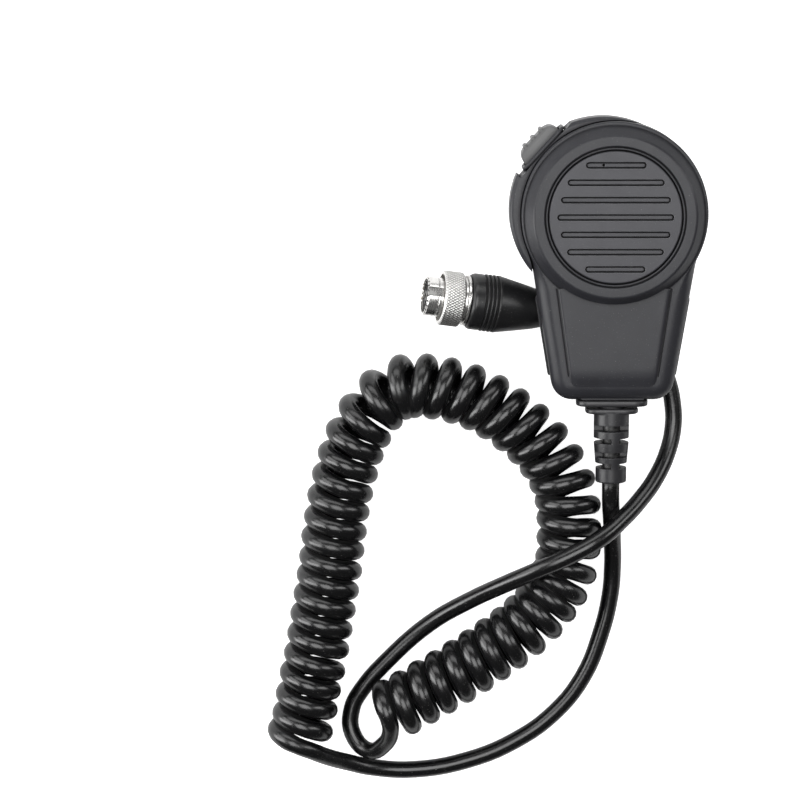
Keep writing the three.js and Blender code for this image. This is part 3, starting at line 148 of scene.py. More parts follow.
def add_node(tree, kind, inputs=(), **settings):
    """A node of that kind, with its settings, and its inputs set or linked by name."""
    made = tree.nodes.new("ShaderNode" + kind)
    for name, value in settings.items():
        setattr(made, name, value)
    for name, value in dict(inputs).items():
        if isinstance(value, bpy.types.NodeSocket):
            tree.links.new(value, made.inputs[name])
        else:
            made.inputs[name].default_value = value
    return made


def calculate(tree, operation, first, second, clamp=False):
    inputs = {0: first, 1: second}
    return add_node(tree, "Math", inputs, operation=operation, use_clamp=clamp).outputs[0]


def blend_colours(tree, share, first, second):
    mix = add_node(tree, "Mix", data_type="RGBA")
    for place, value in ((0, share), (6, first), (7, second)):
        if isinstance(value, bpy.types.NodeSocket):
            tree.links.new(value, mix.inputs[place])
        else:
            mix.inputs[place].default_value = value
    return mix.outputs[2]


def new_effect(name, inputs, outputs):
    """An empty node group with named sockets. Returns it with its inside in and out nodes."""
    group = bpy.data.node_groups.new(name, "ShaderNodeTree")
    for socket, value in inputs.items():
        kind = "NodeSocketVector" if isinstance(value, tuple) else "NodeSocketFloat"
        made = group.interface.new_socket(socket, in_out="INPUT", socket_type=kind)
        made.default_value = value
    for socket, kind in outputs.items():
        group.interface.new_socket(socket, in_out="OUTPUT", socket_type="NodeSocket" + kind)
    return group, group.nodes.new("NodeGroupInput"), group.nodes.new("NodeGroupOutput")


def place_effect(tree, group, values=()):
    made = tree.nodes.new("ShaderNodeGroup")
    made.node_tree = group
    for name, value in dict(values).items():
        made.inputs[name].default_value = value
    return made.outputs


def texture_place(tree):
    return add_node(tree, "TexCoord").outputs["Object"]


def make_grain_effect():
    """The fine pitted texture of a spark-eroded mould, and a slow mottle in the colour."""
    group, given, out = new_effect(
        "mould_grain", {"Grains per metre": 3000.0}, {"Height": "Float", "Mottle": "Float"})
    place = texture_place(group)
    size = given.outputs["Grains per metre"]
    fine = add_node(group, "TexNoise", {"Vector": place, "Scale": size, "Detail": 2.0})
    pits = add_node(group, "TexVoronoi", {"Vector": place, "Scale": size}, feature="SMOOTH_F1")
    slow = add_node(group, "TexNoise", {"Vector": place, "Scale": 140.0, "Detail": 4.0})
    height = calculate(group, "MULTIPLY_ADD", pits.outputs["Distance"], 0.5)
    group.nodes[-1].inputs[2].default_value = 0.0
    group.links.new(fine.outputs[0], group.nodes[-1].inputs[2])
    group.links.new(height, out.inputs["Height"])
    group.links.new(slow.outputs[0], out.inputs["Mottle"])
    return group


def make_edge_wear_and_highlight():
    """Where a moulded edge is painted lighter, partly as rubbed wear and partly as a painted
    highlight, and the softened normal of that edge.
    """
    group, given, out = new_effect(
        "edge_wear_and_highlight", {"Edge radius": 0.0003}, {"Mask": "Float", "Soft normal": "Vector"})
    soft = add_node(group, "Bevel", {"Radius": given.outputs["Edge radius"]}, samples=6)
    real = add_node(group, "NewGeometry").outputs["Normal"]
    facing = add_node(group, "VectorMath", {0: soft.outputs[0], 1: real}, operation="DOT_PRODUCT")
    turned_away = calculate(group, "SUBTRACT", 1.0, facing.outputs["Value"])
    patches = add_node(group, "TexNoise", {"Vector": texture_place(group), "Scale": 420.0})
    broken = calculate(group, "MULTIPLY", turned_away, calculate(
        group, "MULTIPLY", patches.outputs[0], 9.0))
    mask = calculate(group, "MINIMUM", broken, 1.0)
    group.links.new(mask, out.inputs["Mask"])
    group.links.new(soft.outputs[0], out.inputs["Soft normal"])
    return group


def make_dust_effect():
    """Specks of dust on what faces up, and the slow smears that hands leave."""
    group, given, out = new_effect(
        "dust_and_smears", {"Dust": 0.3}, {"Dust": "Float", "Smear": "Float"})
    place = texture_place(group)
    specks = add_node(group, "TexNoise", {"Vector": place, "Scale": 2600.0, "Detail": 1.0})
    few = calculate(group, "MULTIPLY", calculate(
        group, "SUBTRACT", specks.outputs[0], 0.70, clamp=True), 9.0, clamp=True)
    normal = add_node(group, "SeparateXYZ", {0: add_node(group, "NewGeometry").outputs["Normal"]})
    upward = calculate(group, "MAXIMUM", normal.outputs["Z"], 0.0)
    dust = calculate(group, "MULTIPLY", few, upward)
    dust = calculate(group, "MULTIPLY", dust, given.outputs["Dust"])
    smear = add_node(group, "TexNoise", {"Vector": place, "Scale": 55.0, "Detail": 5.0,
                                         "Distortion": 1.2})
    group.links.new(dust, out.inputs["Dust"])
    group.links.new(smear.outputs[0], out.inputs["Smear"])
    return group


def make_crevice_effect():
    """How shut in a spot is, from ambient occlusion. Its mask is used to paint shade into grooves,
    slots and seams.
    """
    group, given, out = new_effect("crevices", {"Reach": 0.0015}, {"Mask": "Float"})
    open_sky = add_node(group, "AmbientOcclusion", {"Distance": given.outputs["Reach"]}, samples=8)
    shut = calculate(group, "SUBTRACT", 1.0, open_sky.outputs["AO"], clamp=True)
    group.links.new(calculate(group, "POWER", shut, 0.8), out.inputs["Mask"])
    return group


GRAIN = make_grain_effect()
CREVICES = make_crevice_effect()
EDGE_WEAR_AND_HIGHLIGHT = make_edge_wear_and_highlight()
DUST = make_dust_effect()
DUST_COLOUR = (0.42, 0.41, 0.39, 1)


def new_finish(name, **sockets):
    """A material with one shader. The named sockets, such as coat_weight, are set on it."""
    material = bpy.data.materials.new(name)
    material.use_nodes = True
    shader = material.node_tree.nodes["Principled BSDF"]
    for socket, value in sockets.items():
        shader.inputs[socket.replace("_", " ").title().replace("Ior", "IOR")].default_value = value
    return material, material.node_tree, shader


def shade(colour, share):
    return tuple(share * part for part in colour) + (1,)


def moulded(name, colour, wear_and_highlight_colour, roughness, grains=3000.0, relief=0.00002, wear_and_highlight=0.5,
            edge=0.0003, dust=0.25, gloss_change=0.12, painted_shade=0.85, reach=0.0015, **sockets):
    """A moulded plastic or rubber: grain, edges painted lighter as wear and as a painted highlight,
    smears, a little dust, and painted shade in its crevices.
    """
    material, tree, shader = new_finish(name, **sockets)
    grain = place_effect(tree, GRAIN, {"Grains per metre": grains})
    edge_outputs = place_effect(tree, EDGE_WEAR_AND_HIGHLIGHT, {"Edge radius": edge})
    dirt = place_effect(tree, DUST, {"Dust": dust})
    base = blend_colours(tree, grain["Mottle"], shade(colour, 0.82), shade(colour, 1.2))
    # Painted highlight and wear: edges are painted lighter, towards the worn colour, as a light line
    # along them.
    wear_and_highlight_share = calculate(tree, "MULTIPLY", edge_outputs["Mask"], wear_and_highlight)
    base = blend_colours(tree, wear_and_highlight_share, base, wear_and_highlight_colour + (1,))
    base = blend_colours(tree, dirt["Dust"], base, DUST_COLOUR)
    # Painted shade: the more shut in a spot is, the darker its colour is painted, down to 0.12 of
    # it.
    shut_in = place_effect(tree, CREVICES, {"Reach": reach})["Mask"]
    painted_shade_share = calculate(tree, "MULTIPLY", shut_in, painted_shade, clamp=True)
    base = blend_colours(tree, painted_shade_share, base, shade(colour, 0.12))
    tree.links.new(base, shader.inputs["Base Color"])
    smear = calculate(tree, "SUBTRACT", dirt["Smear"], 0.5)
    change = calculate(tree, "MULTIPLY", smear, gloss_change)
    rough = calculate(tree, "ADD", change, roughness)
    rough = calculate(tree, "ADD", rough, calculate(tree, "MULTIPLY", dirt["Dust"], 0.4))
    rough = calculate(tree, "ADD", rough, calculate(tree, "MULTIPLY", shut_in, 0.6), clamp=True)
    tree.links.new(rough, shader.inputs["Roughness"])
    bump = add_node(tree, "Bump", {"Height": grain["Height"], "Normal": edge_outputs["Soft normal"],
                                   "Strength": 0.5, "Distance": relief})
    tree.links.new(bump.outputs[0], shader.inputs["Normal"])
    return material


jacket = moulded("cord_jacket", (0.0024, 0.0024, 0.0027), (0.014, 0.014, 0.015), 0.24,
                 grains=800.0, relief=0.00004, wear_and_highlight=0.1, dust=0.3, gloss_change=0.2,
                 specular_ior_level=0.6)


def give_finish(made, material, body, slot, *replaced):
    """Gives a piece its material and the body it moves with, and hides the CAD solids it stands for.
    """
    made.data.materials.clear()
    made.data.materials.append(material)
    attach(made, body)
    if replaced:
        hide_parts(*replaced)
    return made


cord = lay_cord()
give_finish(cord, jacket, "housing", "cord", "mic_lead", "curly_cord", "plug_lead")

# ---- Front shell ----
# Moulded in grey-black ABS with a fine sparked texture. The bevelled ring round the
# grille and the raised keystone panel are part of the same moulding. Four screws from
# the back hold it to the rear shell.

HEAD_RADIUS = 30.5
WAIST_HALF_WIDTH = 26.0
WAIST_Y = -21.0
SIDE_LEAN = math.radians(9.5)
NECK_RADIUS = 30.0
BOTTOM_Y = -61.3
CORNER_RADIUS = 7.0
SEAM = 17.5
HALF_SEAM = 0.15
FACE = 25.0
WALL = 2.2
DISC_RADIUS = 21.6
RING_TOP = 28.5
RING_FLAT = (23.1, 26.5)
RING_FOOT = 29.7
GRILLE_Y = -0.45  # the ring's and the disc's middle
OPENING_RADIUS = 20.2
LEDGE = 25.6
RELIEF_HEIGHT = 17.5


def bow(middle, radius, start, end, steps):
    return [(middle[0] + radius * math.cos(start + (end - start) * i / steps),
             middle[1] + radius * math.sin(start + (end - start) * i / steps))
            for i in range(steps + 1)]


def part_way(start, end, steps):
    (x0, y0), (x1, y1) = start, end
    return [(x0 + (x1 - x0) * i / steps, y0 + (y1 - y0) * i / steps) for i in range(1, steps)]


def side_x(y, inset=0.0):
    return WAIST_HALF_WIDTH + (y - WAIST_Y) * math.tan(SIDE_LEAN) - inset / math.cos(SIDE_LEAN)


def housing_outline(head_inset, body_inset):
    """The housing seen from the front: a round head, hollow necks and leaning sides."""
    head = HEAD_RADIUS - head_inset
    neck = NECK_RADIUS + body_inset
    corner = max(CORNER_RADIUS - body_inset, 0.6)
    normal = Vector((math.cos(SIDE_LEAN), -math.sin(SIDE_LEAN)))
    upwards = Vector((math.sin(SIDE_LEAN), math.cos(SIDE_LEAN)))
    out = normal.x * WAIST_HALF_WIDTH + normal.y * WAIST_Y - body_inset + neck
    turn = normal * out - upwards * math.sqrt(max((head + neck) ** 2 - out**2, 0))
    head_angle = math.atan2(turn.y, turn.x)
    bottom = BOTTOM_Y + body_inset
    corner_middle = (side_x(bottom + corner, body_inset) - corner / normal.x, bottom + corner)
    round_corner = bow(corner_middle, corner, -math.pi / 2, -SIDE_LEAN, 8)
    hollow = bow(turn, neck, math.pi - SIDE_LEAN, math.pi + head_angle, 7)
    crown = bow((0, 0), head, head_angle, math.pi / 2, 46)[1:]
    right = [(0, bottom), *part_way((0, bottom), round_corner[0], 6), *round_corner,
             *part_way(round_corner[-1], hollow[0], 12), *hollow, *crown]
    return right + [(-x, y) for x, y in reversed(right[1:-1])]


def at_height(outline, z):
    return [(x, y, z) for x, y in outline]


SPOKES = [math.atan2(y, x) for x, y in housing_outline(0, 0)]


def hoop(radius, z):
    """A circle round the grille's middle, with a point under each point of the outline."""
    return [(radius * math.cos(a), GRILLE_Y + radius * math.sin(a), z) for a in SPOKES]


def skin_over(name, hoops, closed=False, place=None):
    """A solid whose skin runs over hoops of equally many points, in millimetres."""
    count = len(hoops[0])
    faces = []
    rows = len(hoops) if closed else len(hoops) - 1
    for row in range(rows):
        low, high = row * count, (row + 1) % len(hoops) * count
        for i in range(count):
            j = (i + 1) % count
            faces.append((low + i, low + j, high + j, high + i))
    if not closed:
        faces.append(tuple(reversed(range(count))))
        faces.append(tuple(range((len(hoops) - 1) * count, len(hoops) * count)))
    mesh = bpy.data.meshes.new(name)
    mesh.from_pydata([tuple(p) for line in hoops for p in line], [], faces)
    mesh.transform(Matrix.Scale(MM, 4) @ (place or Matrix.Identity(4)))
    made = bpy.data.objects.new(name, mesh)
    bpy.context.scene.collection.objects.link(made)
    face_out(made)
    return made


def face_out(made):
    """Turns the skin the right way out."""
    work = bmesh.new()
    work.from_mesh(made.data)
    bmesh.ops.recalc_face_normals(work, faces=work.faces)
    if work.calc_volume(signed=True) < 0:
        bmesh.ops.reverse_faces(work, faces=work.faces)
    work.to_mesh(made.data)
    work.free()


def combine(made, tool, operation):
    """Joins, cuts or keeps what the tool covers, and takes the tool away."""
    change = made.modifiers.new("combine", "BOOLEAN")
    change.operation = operation
    change.solver = "MANIFOLD"
    change.object = tool
    bake(made)
    bpy.data.objects.remove(tool)
    return made


def cut(made, tool):
    return combine(made, tool, "DIFFERENCE")


def join(made, tool):
    return combine(made, tool, "UNION")


def smooth_over(made, crease=32):
    """Smooth shading, broken at edges sharper than the crease. Large faces stay flat and
    the small ones beside them take the bend."""
    work = bmesh.new()
    work.from_mesh(made.data)
    bmesh.ops.dissolve_degenerate(work, dist=1e-7, edges=work.edges)
    for face in work.faces:
        face.smooth = True
    for edge in work.edges:
        edge.smooth = len(edge.link_faces) == 2 and edge.calc_face_angle(0) < math.radians(crease)
    work.to_mesh(made.data)
    work.free()
    weigh = made.modifiers.new("weigh", "WEIGHTED_NORMAL")
    weigh.keep_sharp = True
    weigh.weight = 80
    return bake(made)


def bake(made):
    """Keeps what the object's modifiers make of its mesh, and takes them off it."""
    bpy.context.view_layer.update()
    ready = made.evaluated_get(bpy.context.evaluated_depsgraph_get())
    mesh = bpy.data.meshes.new_from_object(ready)
    made.modifiers.clear()
    made.data = mesh
    return made


def eased(corners, closed=True, steps=4):
    """A line through corners given as (a, b, rounding), with each corner rounded off."""
    line = []
    for i, (a, b, rounding) in enumerate(corners):
        here = Vector((a, b))
        if rounding == 0 or (not closed and i in (0, len(corners) - 1)):
            line.append(here)
            continue
        back = Vector(corners[i - 1][:2]) - here
        on = Vector(corners[(i + 1) % len(corners)][:2]) - here
        reach = [min(rounding, leg.length * 0.49) for leg in (back, on)]
        start, end = here + back.normalized() * reach[0], here + on.normalized() * reach[1]
        for k in range(steps + 1):
            t = k / steps
            line.append(start.lerp(here, t).lerp(here.lerp(end, t), t))
    return line


def prism(outline, low, high, place=None):
    return skin_over("tool", [at_height(outline, low), at_height(outline, high)], place=place)


def block(low, high, place=None):
    (x0, y0, z0), (x1, y1, z1) = low, high
    return prism([(x0, y0), (x1, y0), (x1, y1), (x0, y1)], z0, z1, place)


def turned(name, profile, closed=False, segments=96, place=None):
    """A turned solid round the Z axis from a profile of (radius, height)."""
    turns = [2 * math.pi * i / segments for i in range(segments)]
    rings = [[(r * math.cos(turn), r * math.sin(turn), z) for turn in turns] for r, z in profile]
    return skin_over(name, rings, closed=closed, place=place)


def rod(radius, low, high, place=None, segments=48):
    return turned("tool", [(radius, low), (radius, high)], segments=segments, place=place)


def rolled(z, start, height, width):
    """How far in an edge with an elliptical round has come at height z."""
    if z <= start:
        return 0.0
    return width * (1 - math.sqrt(max(1 - ((z - start) / height) ** 2, 0)))


PTT_ANGLE = math.radians(137.4)
PTT_HEIGHT = 15.3
PTT_OUT = Vector((math.cos(PTT_ANGLE), math.sin(PTT_ANGLE), 0))
# In the button's place: x runs along the button, y up and z outwards from the head
PTT_PLACE = Matrix.Translation((0, 0, PTT_HEIGHT)) @ Matrix((
    (-PTT_OUT.y, 0, PTT_OUT.x, 0), (PTT_OUT.x, 0, PTT_OUT.y, 0), (0, 1, 0, 0), (0, 0, 0, 1)))
# In the strain relief's place: x is the microphone's, y up and z away from the housing
RELIEF_PLACE = Matrix.Translation((0, 0, RELIEF_HEIGHT)) @ Matrix((
    (1, 0, 0, 0), (0, 0, -1, 0), (0, 1, 0, 0), (0, 0, 0, 1)))


BUTTON_WELL = ((-8.95, -6.7, 23.4), (8.95, 6.7, 40))  # two corners, in the button's place
RELIEF_BORE = (4.5, 50, 63)  # its radius, and where it starts and ends


def button_opening():
    return block(*BUTTON_WELL, PTT_PLACE)


def relief_opening():
    return rod(*RELIEF_BORE, RELIEF_PLACE)


def on_spokes(outline, least):
    """The outline again, with its points where the spokes cross it, and none of them
    nearer the head's middle than least, so that it never runs under the ring."""
    points = [Vector(point) for point in outline]
    moved = []
    i = 0
    for spoke in SPOKES:
        way = Vector((math.cos(spoke), math.sin(spoke)))
        while True:
            here, there = points[i % len(points)], points[(i + 1) % len(points)]
            step = there - here
            past = way.x * step.y - way.y * step.x
            share = (way.y * here.x - way.x * here.y) / past if past else 0
            if -1e-6 <= share <= 1 + 1e-6 and here.lerp(there, share).dot(way) > 0:
                break
            i += 1
        moved.append(tuple(way * max(here.lerp(there, share).length, least)))
    return moved


SHELL_LEVELS = (19.2, 20.6, 21.6, 22.5, 23.3, 23.9, 24.3, 24.6, 24.8, 24.93)
BODY_ROUND = (20.6, 5.0)  # where the body's rounded edge starts, and how far it comes in
HEAD_ROUND = (24.2, 0.55)
INNER_HOOPS = ((22.8, 4.2, 6.4), (22, 3, 4.2), (20.3, 2.2, 2.6), (17.65, 2.2, 2.2))


def front_shell():
    hoops = []
    for z in (SEAM + HALF_SEAM, *SHELL_LEVELS, FACE):
        head = rolled(z, HEAD_ROUND[0], FACE - HEAD_ROUND[0], HEAD_ROUND[1])
        body = rolled(z, BODY_ROUND[0], FACE - BODY_ROUND[0], BODY_ROUND[1])
        hoops.append(at_height(on_spokes(housing_outline(head, body), RING_FOOT + 0.25), z))
    ring = eased([
        (RING_FOOT + 0.05, FACE - 0.05, 0), (RING_FOOT - 0.1, FACE - 0.3, 0.1),
        (RING_FLAT[1], RING_TOP, 0.6), (RING_FLAT[0], RING_TOP, 0.3), (RING_FLAT[0], 27.1, 0.1),
        (22.65, 27.1, 0.05), (22.6, 28.1, 0.1), (22.1, 28.1, 0.1), (22.1, LEDGE, 0.1),
        (OPENING_RADIUS, LEDGE, 0.2), (OPENING_RADIUS, FACE - WALL, 0),
    ], closed=False, steps=5)
    hoops += [hoop(r, z) for r, z in ring]
    for z, head, body in INNER_HOOPS:
        hoops.append(at_height(housing_outline(head, body), z))
    return skin_over("front_shell_skin", hoops, closed=True)


PANEL_TOP, PANEL_END = -24.0, -56.6
PANEL_IN = (6.3, 7.0)  # from the housing's side, at the panel's lower and upper end
# How high each level of the panel's edge is, how far in, and how far up from its foot
PANEL_LEVELS = (
    (-0.6, 0.0, 0.0), (0, 0.0, 0.0), (0.12, 0.05, 0.6), (0.25, 0.1, 1.2), (0.42, 0.2, 2.0),
    (0.58, 0.36, 2.8), (0.7, 0.6, 3.8), (0.78, 1.0, 5.0), (0.8, 1.4, 6.0), (0.81, 1.8, 7.0),
)


def keystone_panel():
    hoops = []
    for rise, inset, foot in PANEL_LEVELS:
        low = side_x(PANEL_END + foot) - PANEL_IN[0] - inset
        high = side_x(PANEL_TOP) - PANEL_IN[1] - inset
        corners = [(-low, PANEL_END + foot, 2.4), (low, PANEL_END + foot, 2.4),
                   (high, PANEL_TOP, 0.5), (-high, PANEL_TOP, 0.5)]
        hoops.append(at_height(eased(corners, steps=6), FACE + rise))
    return skin_over("tool", hoops)


def panel_groove(side):
    """The thin line sunk along the foot of the panel's side."""
    end, out, width = PANEL_END + 3.5, 0.1, 0.5
    low, high = side_x(end) - PANEL_IN[0] + out, side_x(PANEL_TOP) - PANEL_IN[1] + out
    corners = [(low, end), (low + width, end), (high + width, PANEL_TOP), (high, PANEL_TOP)]
    line = [(side * x, y) for x, y in corners]
    return prism(line, FACE - 0.4, FACE + 0.6)


SPOUT = (10.5, 5.2, 6.0)  # half its width, half its depth, and how far up it reaches


def half_spout(low, high):
    half, top = SPOUT[0], BOTTOM_Y + SPOUT[2]
    corners = [(-half, BOTTOM_Y, 0.8), (half, BOTTOM_Y, 0.8), (half, top, 0), (-half, top, 0)]
    return prism(eased(corners), low, high)


shell_plastic = moulded("shell_plastic", (0.021, 0.0212, 0.025), (0.13, 0.13, 0.14), 0.34,
                        grains=3200.0, relief=0.00003, wear_and_highlight=0.35, dust=0.22,
                        specular_ior_level=0.32)
front = join(front_shell(), keystone_panel())
for side in (-1, 1):
    cut(front, panel_groove(side))
join(front, half_spout(SEAM + HALF_SEAM, RELIEF_HEIGHT + SPOUT[1]))
cut(front, button_opening())
cut(front, relief_opening())
smooth_over(front, 40)
give_finish(front, shell_plastic, "housing", "shell", "front_shell")

# ---- Rear shell ----
# The deeper half, in the same plastic, with a large round all along its back edge. A
# round shoulder stands out on the button's side and holds the button's bezel. The back
# steps up below the head so that the lower half is thinner in the palm.

HEAD_BACK = 6.3
BACK_RISE = 4.3
SLOPE = (15.45, 18.0)
BACK_ROUND = 10.0
HUMP_MIDDLE = (-3.7, 1.2)
HUMP_RADIUS = 30.7
HUMP_HEIGHTS = (6.5, 23.0)
# Where each shell screw is, and how high its head sits
SCREWS = ((25.4, 3.57, 11.6), (-25.4, 3.57, 11.6), (15.79, -49.3, 14.2), (-15.79, -49.3, 14.2))
POST_RADIUS, WELL_RADIUS, SCREW_HOLE_RADIUS = 3.9, 2.8, 1.55
HANG_SCREW_HOLE = (1.8, 0, 12)


def back_height(y):
    t = min(max((-y - SLOPE[0]) / SLOPE[1], 0), 1)
    return HEAD_BACK + BACK_RISE * t * t * (3 - 2 * t)


def bowl(inset, top):
    hoops = []
    base = housing_outline(inset + BACK_ROUND, inset + BACK_ROUND)
    for share in (0.08, 0.3, 0.55, 0.8):
        inner = [(x * share, -8 + (y + 8) * share) for x, y in base]
        hoops.append([(x, y, back_height(y) + inset) for x, y in inner])
    for step in range(13):
        turn = math.radians(90 - 7.5 * step)
        outline = housing_outline(*[inset + BACK_ROUND * (1 - math.cos(turn))] * 2)
        hoops.append([(x, y, SEAM - HALF_SEAM - (SEAM - HALF_SEAM - back_height(y) - inset)
                       * math.sin(turn)) for x, y in outline])
    hoops.append(at_height(housing_outline(inset, inset), top))
    return skin_over("back_shell_skin", hoops)


def shoulder():
    low, high = HUMP_HEIGHTS
    profile = eased([(4, low, 0), (HUMP_RADIUS - 6, low, 1), (HUMP_RADIUS, low + 3.4, 4.5),
                     (HUMP_RADIUS, high, 1.8), (4, high, 0)], closed=False, steps=8)
    made = turned("tool", profile, segments=160, place=Matrix.Translation((*HUMP_MIDDLE, 0)))
    return combine(made, block((-70, -20, 7), (70, 20, 70), PTT_PLACE), "INTERSECT")


def side_strip(side):
    """The low rib along each side of the rear shell, for the palm."""
    low, high, out = -53.7, -27.0, 0.65
    corners = [(side_x(low) - 3, low, 0), (side_x(low) + out, low, 0.5),
               (side_x(high) + out, high, 2.0), (side_x(high) - 3, high, 0)]
    line = [(side * x, y) for x, y in eased(corners)]
    return prism(line, 15.0, SEAM - HALF_SEAM)


def rear_shell():
    top = SEAM - HALF_SEAM
    made = join(bowl(0, top), shoulder())
    join(made, half_spout(RELIEF_HEIGHT - SPOUT[1], top))
    for side in (-1, 1):
        join(made, side_strip(side))
    cut(made, prism(housing_outline(-0.3, -0.3), top, 30))
    cut(made, bowl(WALL, top + 1))
    cut(made, button_opening())
    cut(made, block((-12, -30, 30.8), (12, 30, 45), PTT_PLACE))
    cut(made, relief_opening())
    cut(made, rod(*HANG_SCREW_HOLE, segments=32))
    for x, y, seat in SCREWS:
        there = Matrix.Translation((x, y, 0))
        join(made, rod(POST_RADIUS, seat - 2, seat + 1.1, there, 40))
        cut(made, rod(WELL_RADIUS, 0, seat, there, 40))
        cut(made, rod(SCREW_HOLE_RADIUS, seat - 1, top + 1, there, 24))
    return made


rear = smooth_over(rear_shell(), 35)
give_finish(rear, shell_plastic, "housing", "shell", "back_shell")

# ---- Grille disc ----
# A round moulded cover that snaps into the ring, with seven slots with round ends. The
# top slot has a small round port in it, which lets the sound in to the capsule.

DISC_TOP = 28.1
DISC_BACK = 25.9
SLOT_LENGTHS = (19.7, 31.5, 35.7, 38, 35.7, 31.5, 19.7)
SLOT_PITCH = 5.65
SLOT_HEIGHT = 2.2
SLOT_DEPTH = 1.5
SLOT_FLOOR = (0.45, 0.58)  # the raised floor: how deep it lies and how far from the edge
PORT = (-4.1, 0.48)  # how far from the slot's middle, and its radius


def round_ended(length, height, z_from, z_to, y):
    radius = height / 2
    ends = bow((length / 2 - radius, y), radius, -math.pi / 2, math.pi / 2, 12)
    ends += bow((radius - length / 2, y), radius, math.pi / 2, math.pi * 1.5, 12)
    return prism(ends, z_from, z_to)


def grille_disc():
    corners = [(DISC_RADIUS, DISC_BACK, 0), (DISC_RADIUS, DISC_TOP, 0.45), (12, DISC_TOP, 0)]
    profile = eased(corners, closed=False, steps=6)
    middle = Matrix.Translation((0, GRILLE_Y, 0))
    made = turned("grille_cover", profile, segments=144, place=middle)
    deep, away = SLOT_FLOOR
    for i, length in enumerate(SLOT_LENGTHS):
        y = GRILLE_Y + SLOT_PITCH * (len(SLOT_LENGTHS) - 1) / 2 - i * SLOT_PITCH
        slot = round_ended(length, SLOT_HEIGHT, DISC_TOP - SLOT_DEPTH, DISC_TOP + 1, y)
        cut(made, slot)
        floor = round_ended(length - 2 * away, SLOT_HEIGHT - 2 * away, DISC_BACK + 0.2,
                            DISC_TOP - deep, y)
        join(made, floor)
    there = Matrix.Translation((PORT[0], GRILLE_Y + SLOT_PITCH * 3, 0))
    return cut(made, rod(PORT[1], DISC_BACK - 1, DISC_TOP, there, 24))


# The disc gets strong painted shade in its slots and a strong painted highlight along their edges.
grille_plastic = moulded("grille_plastic", (0.034, 0.034, 0.040), (0.28, 0.28, 0.29), 0.38,
                         grains=3200.0, relief=0.000025, wear_and_highlight=0.8, edge=0.0002, dust=0.2,
                         painted_shade=1.3, reach=0.0011, specular_ior_level=0.4)
grille = smooth_over(grille_disc(), 30)
give_finish(grille, grille_plastic, "housing", "grille", "grille_disc")

# ---- Push-to-talk button and its bezel ----
# The button is a lighter grey moulding with three grip ribs across its face. It slides
# in a bezel that snaps into the rear shell's shoulder, and a lip inside keeps it in.

BUTTON = (15.5, 11.0)
BUTTON_BACK = 27.2
BUTTON_FACE = 36.2
BUTTON_CORNER = 0.5
END_ROUND = (32.6, 3.6)  # where the round at the ends starts, and how far it comes in
SIDE_ROUND = (34.6, 1.5)
RIB_PLACES = (-3.7, 0.0, 3.7)
LIP = (16.4, 11.9, 1.5)  # the lip's length, height and corners
LIP_HEIGHTS = (26, 27.3)
STEM = (2.2, 24.6, 26.2)
BEZEL = (19.3, 13.4, 2.6)  # the frame's length, height and corners
# How far in each level of the frame's edge is, and how far out from the head it stands
BEZEL_EDGE = ((0.3, 31.1), (0.05, 31.25), (0, 31.4), (0, 31.8), (0.08, 32.05), (0.3, 32.25),
              (0.6, 32.3))


def round_cornered(width, height, radius, z):
    w, h = width / 2, height / 2
    corners = [(w, -h, radius), (w, h, radius), (-w, h, radius), (-w, -h, radius)]
    return at_height(eased(corners, steps=6), z)


def button_cap():
    hoops = [round_cornered(*BUTTON, BUTTON_CORNER, z) for z in (BUTTON_BACK, END_ROUND[0])]
    for step in range(1, 13):
        turn = math.radians(7.5 * step)
        z = END_ROUND[0] + (BUTTON_FACE - END_ROUND[0]) * math.sin(turn)
        ends = END_ROUND[1] * (1 - math.cos(turn))
        sides = rolled(z, SIDE_ROUND[0], BUTTON_FACE - SIDE_ROUND[0] + 0.001, SIDE_ROUND[1])
        hoops.append(round_cornered(BUTTON[0] - 2 * ends, BUTTON[1] - 2 * sides,
                                    BUTTON_CORNER + sides, z))
    made = skin_over("talk_button", hoops, place=PTT_PLACE)
    for x in RIB_PLACES:
        bar = eased([(0.05, -5, 0), (0.8, -5, 0.5), (0.8, 5, 0.5), (0.05, 5, 0)], closed=False)
        upright = Matrix.Rotation(math.pi / 2, 4, "X")
        across = Matrix.Translation((x, 0, BUTTON_FACE - 0.1)) @ upright
        join(made, turned("tool", bar, segments=20, place=PTT_PLACE @ across))
    lip = skin_over("tool", [round_cornered(*LIP, z) for z in LIP_HEIGHTS], place=PTT_PLACE)
    join(made, lip)
    return join(made, rod(*STEM, PTT_PLACE, 32))


def bezel():
    length, height, corner = BEZEL
    hoops = [round_cornered(15.9, 11.4, 0.2, 27.6), round_cornered(17.3, 12.8, 2, 27.6),
             round_cornered(17.3, 12.8, 2, 31.1)]
    hoops += [round_cornered(length - 2 * i, height - 2 * i, corner, z) for i, z in BEZEL_EDGE]
    hoops += [round_cornered(16.5, 12, 0.6, 32.3), round_cornered(16, 11.5, 0.3, 32.1),
              round_cornered(15.9, 11.4, 0.2, 31.8)]
    return skin_over("button_bezel", hoops, closed=True, place=PTT_PLACE)


button_plastic = moulded("button_plastic", (0.076, 0.076, 0.0768), (0.28, 0.28, 0.28), 0.42,
                         grains=2600.0, relief=0.00003, wear_and_highlight=0.4, dust=0.2)
talk_button = smooth_over(button_cap(), 40)
give_finish(talk_button, button_plastic, "ptt_button", "button", "ptt_button")
button_bezel = smooth_over(bezel(), 35)
give_finish(button_bezel, shell_plastic, "housing", "shell", "ptt_bezel")

# ---- Strain relief ----
# Moulded onto the cable in soft black rubber: two flanges against the housing, then a
# tube that is cut away by turns on its faces and its sides, so that it bends evenly.

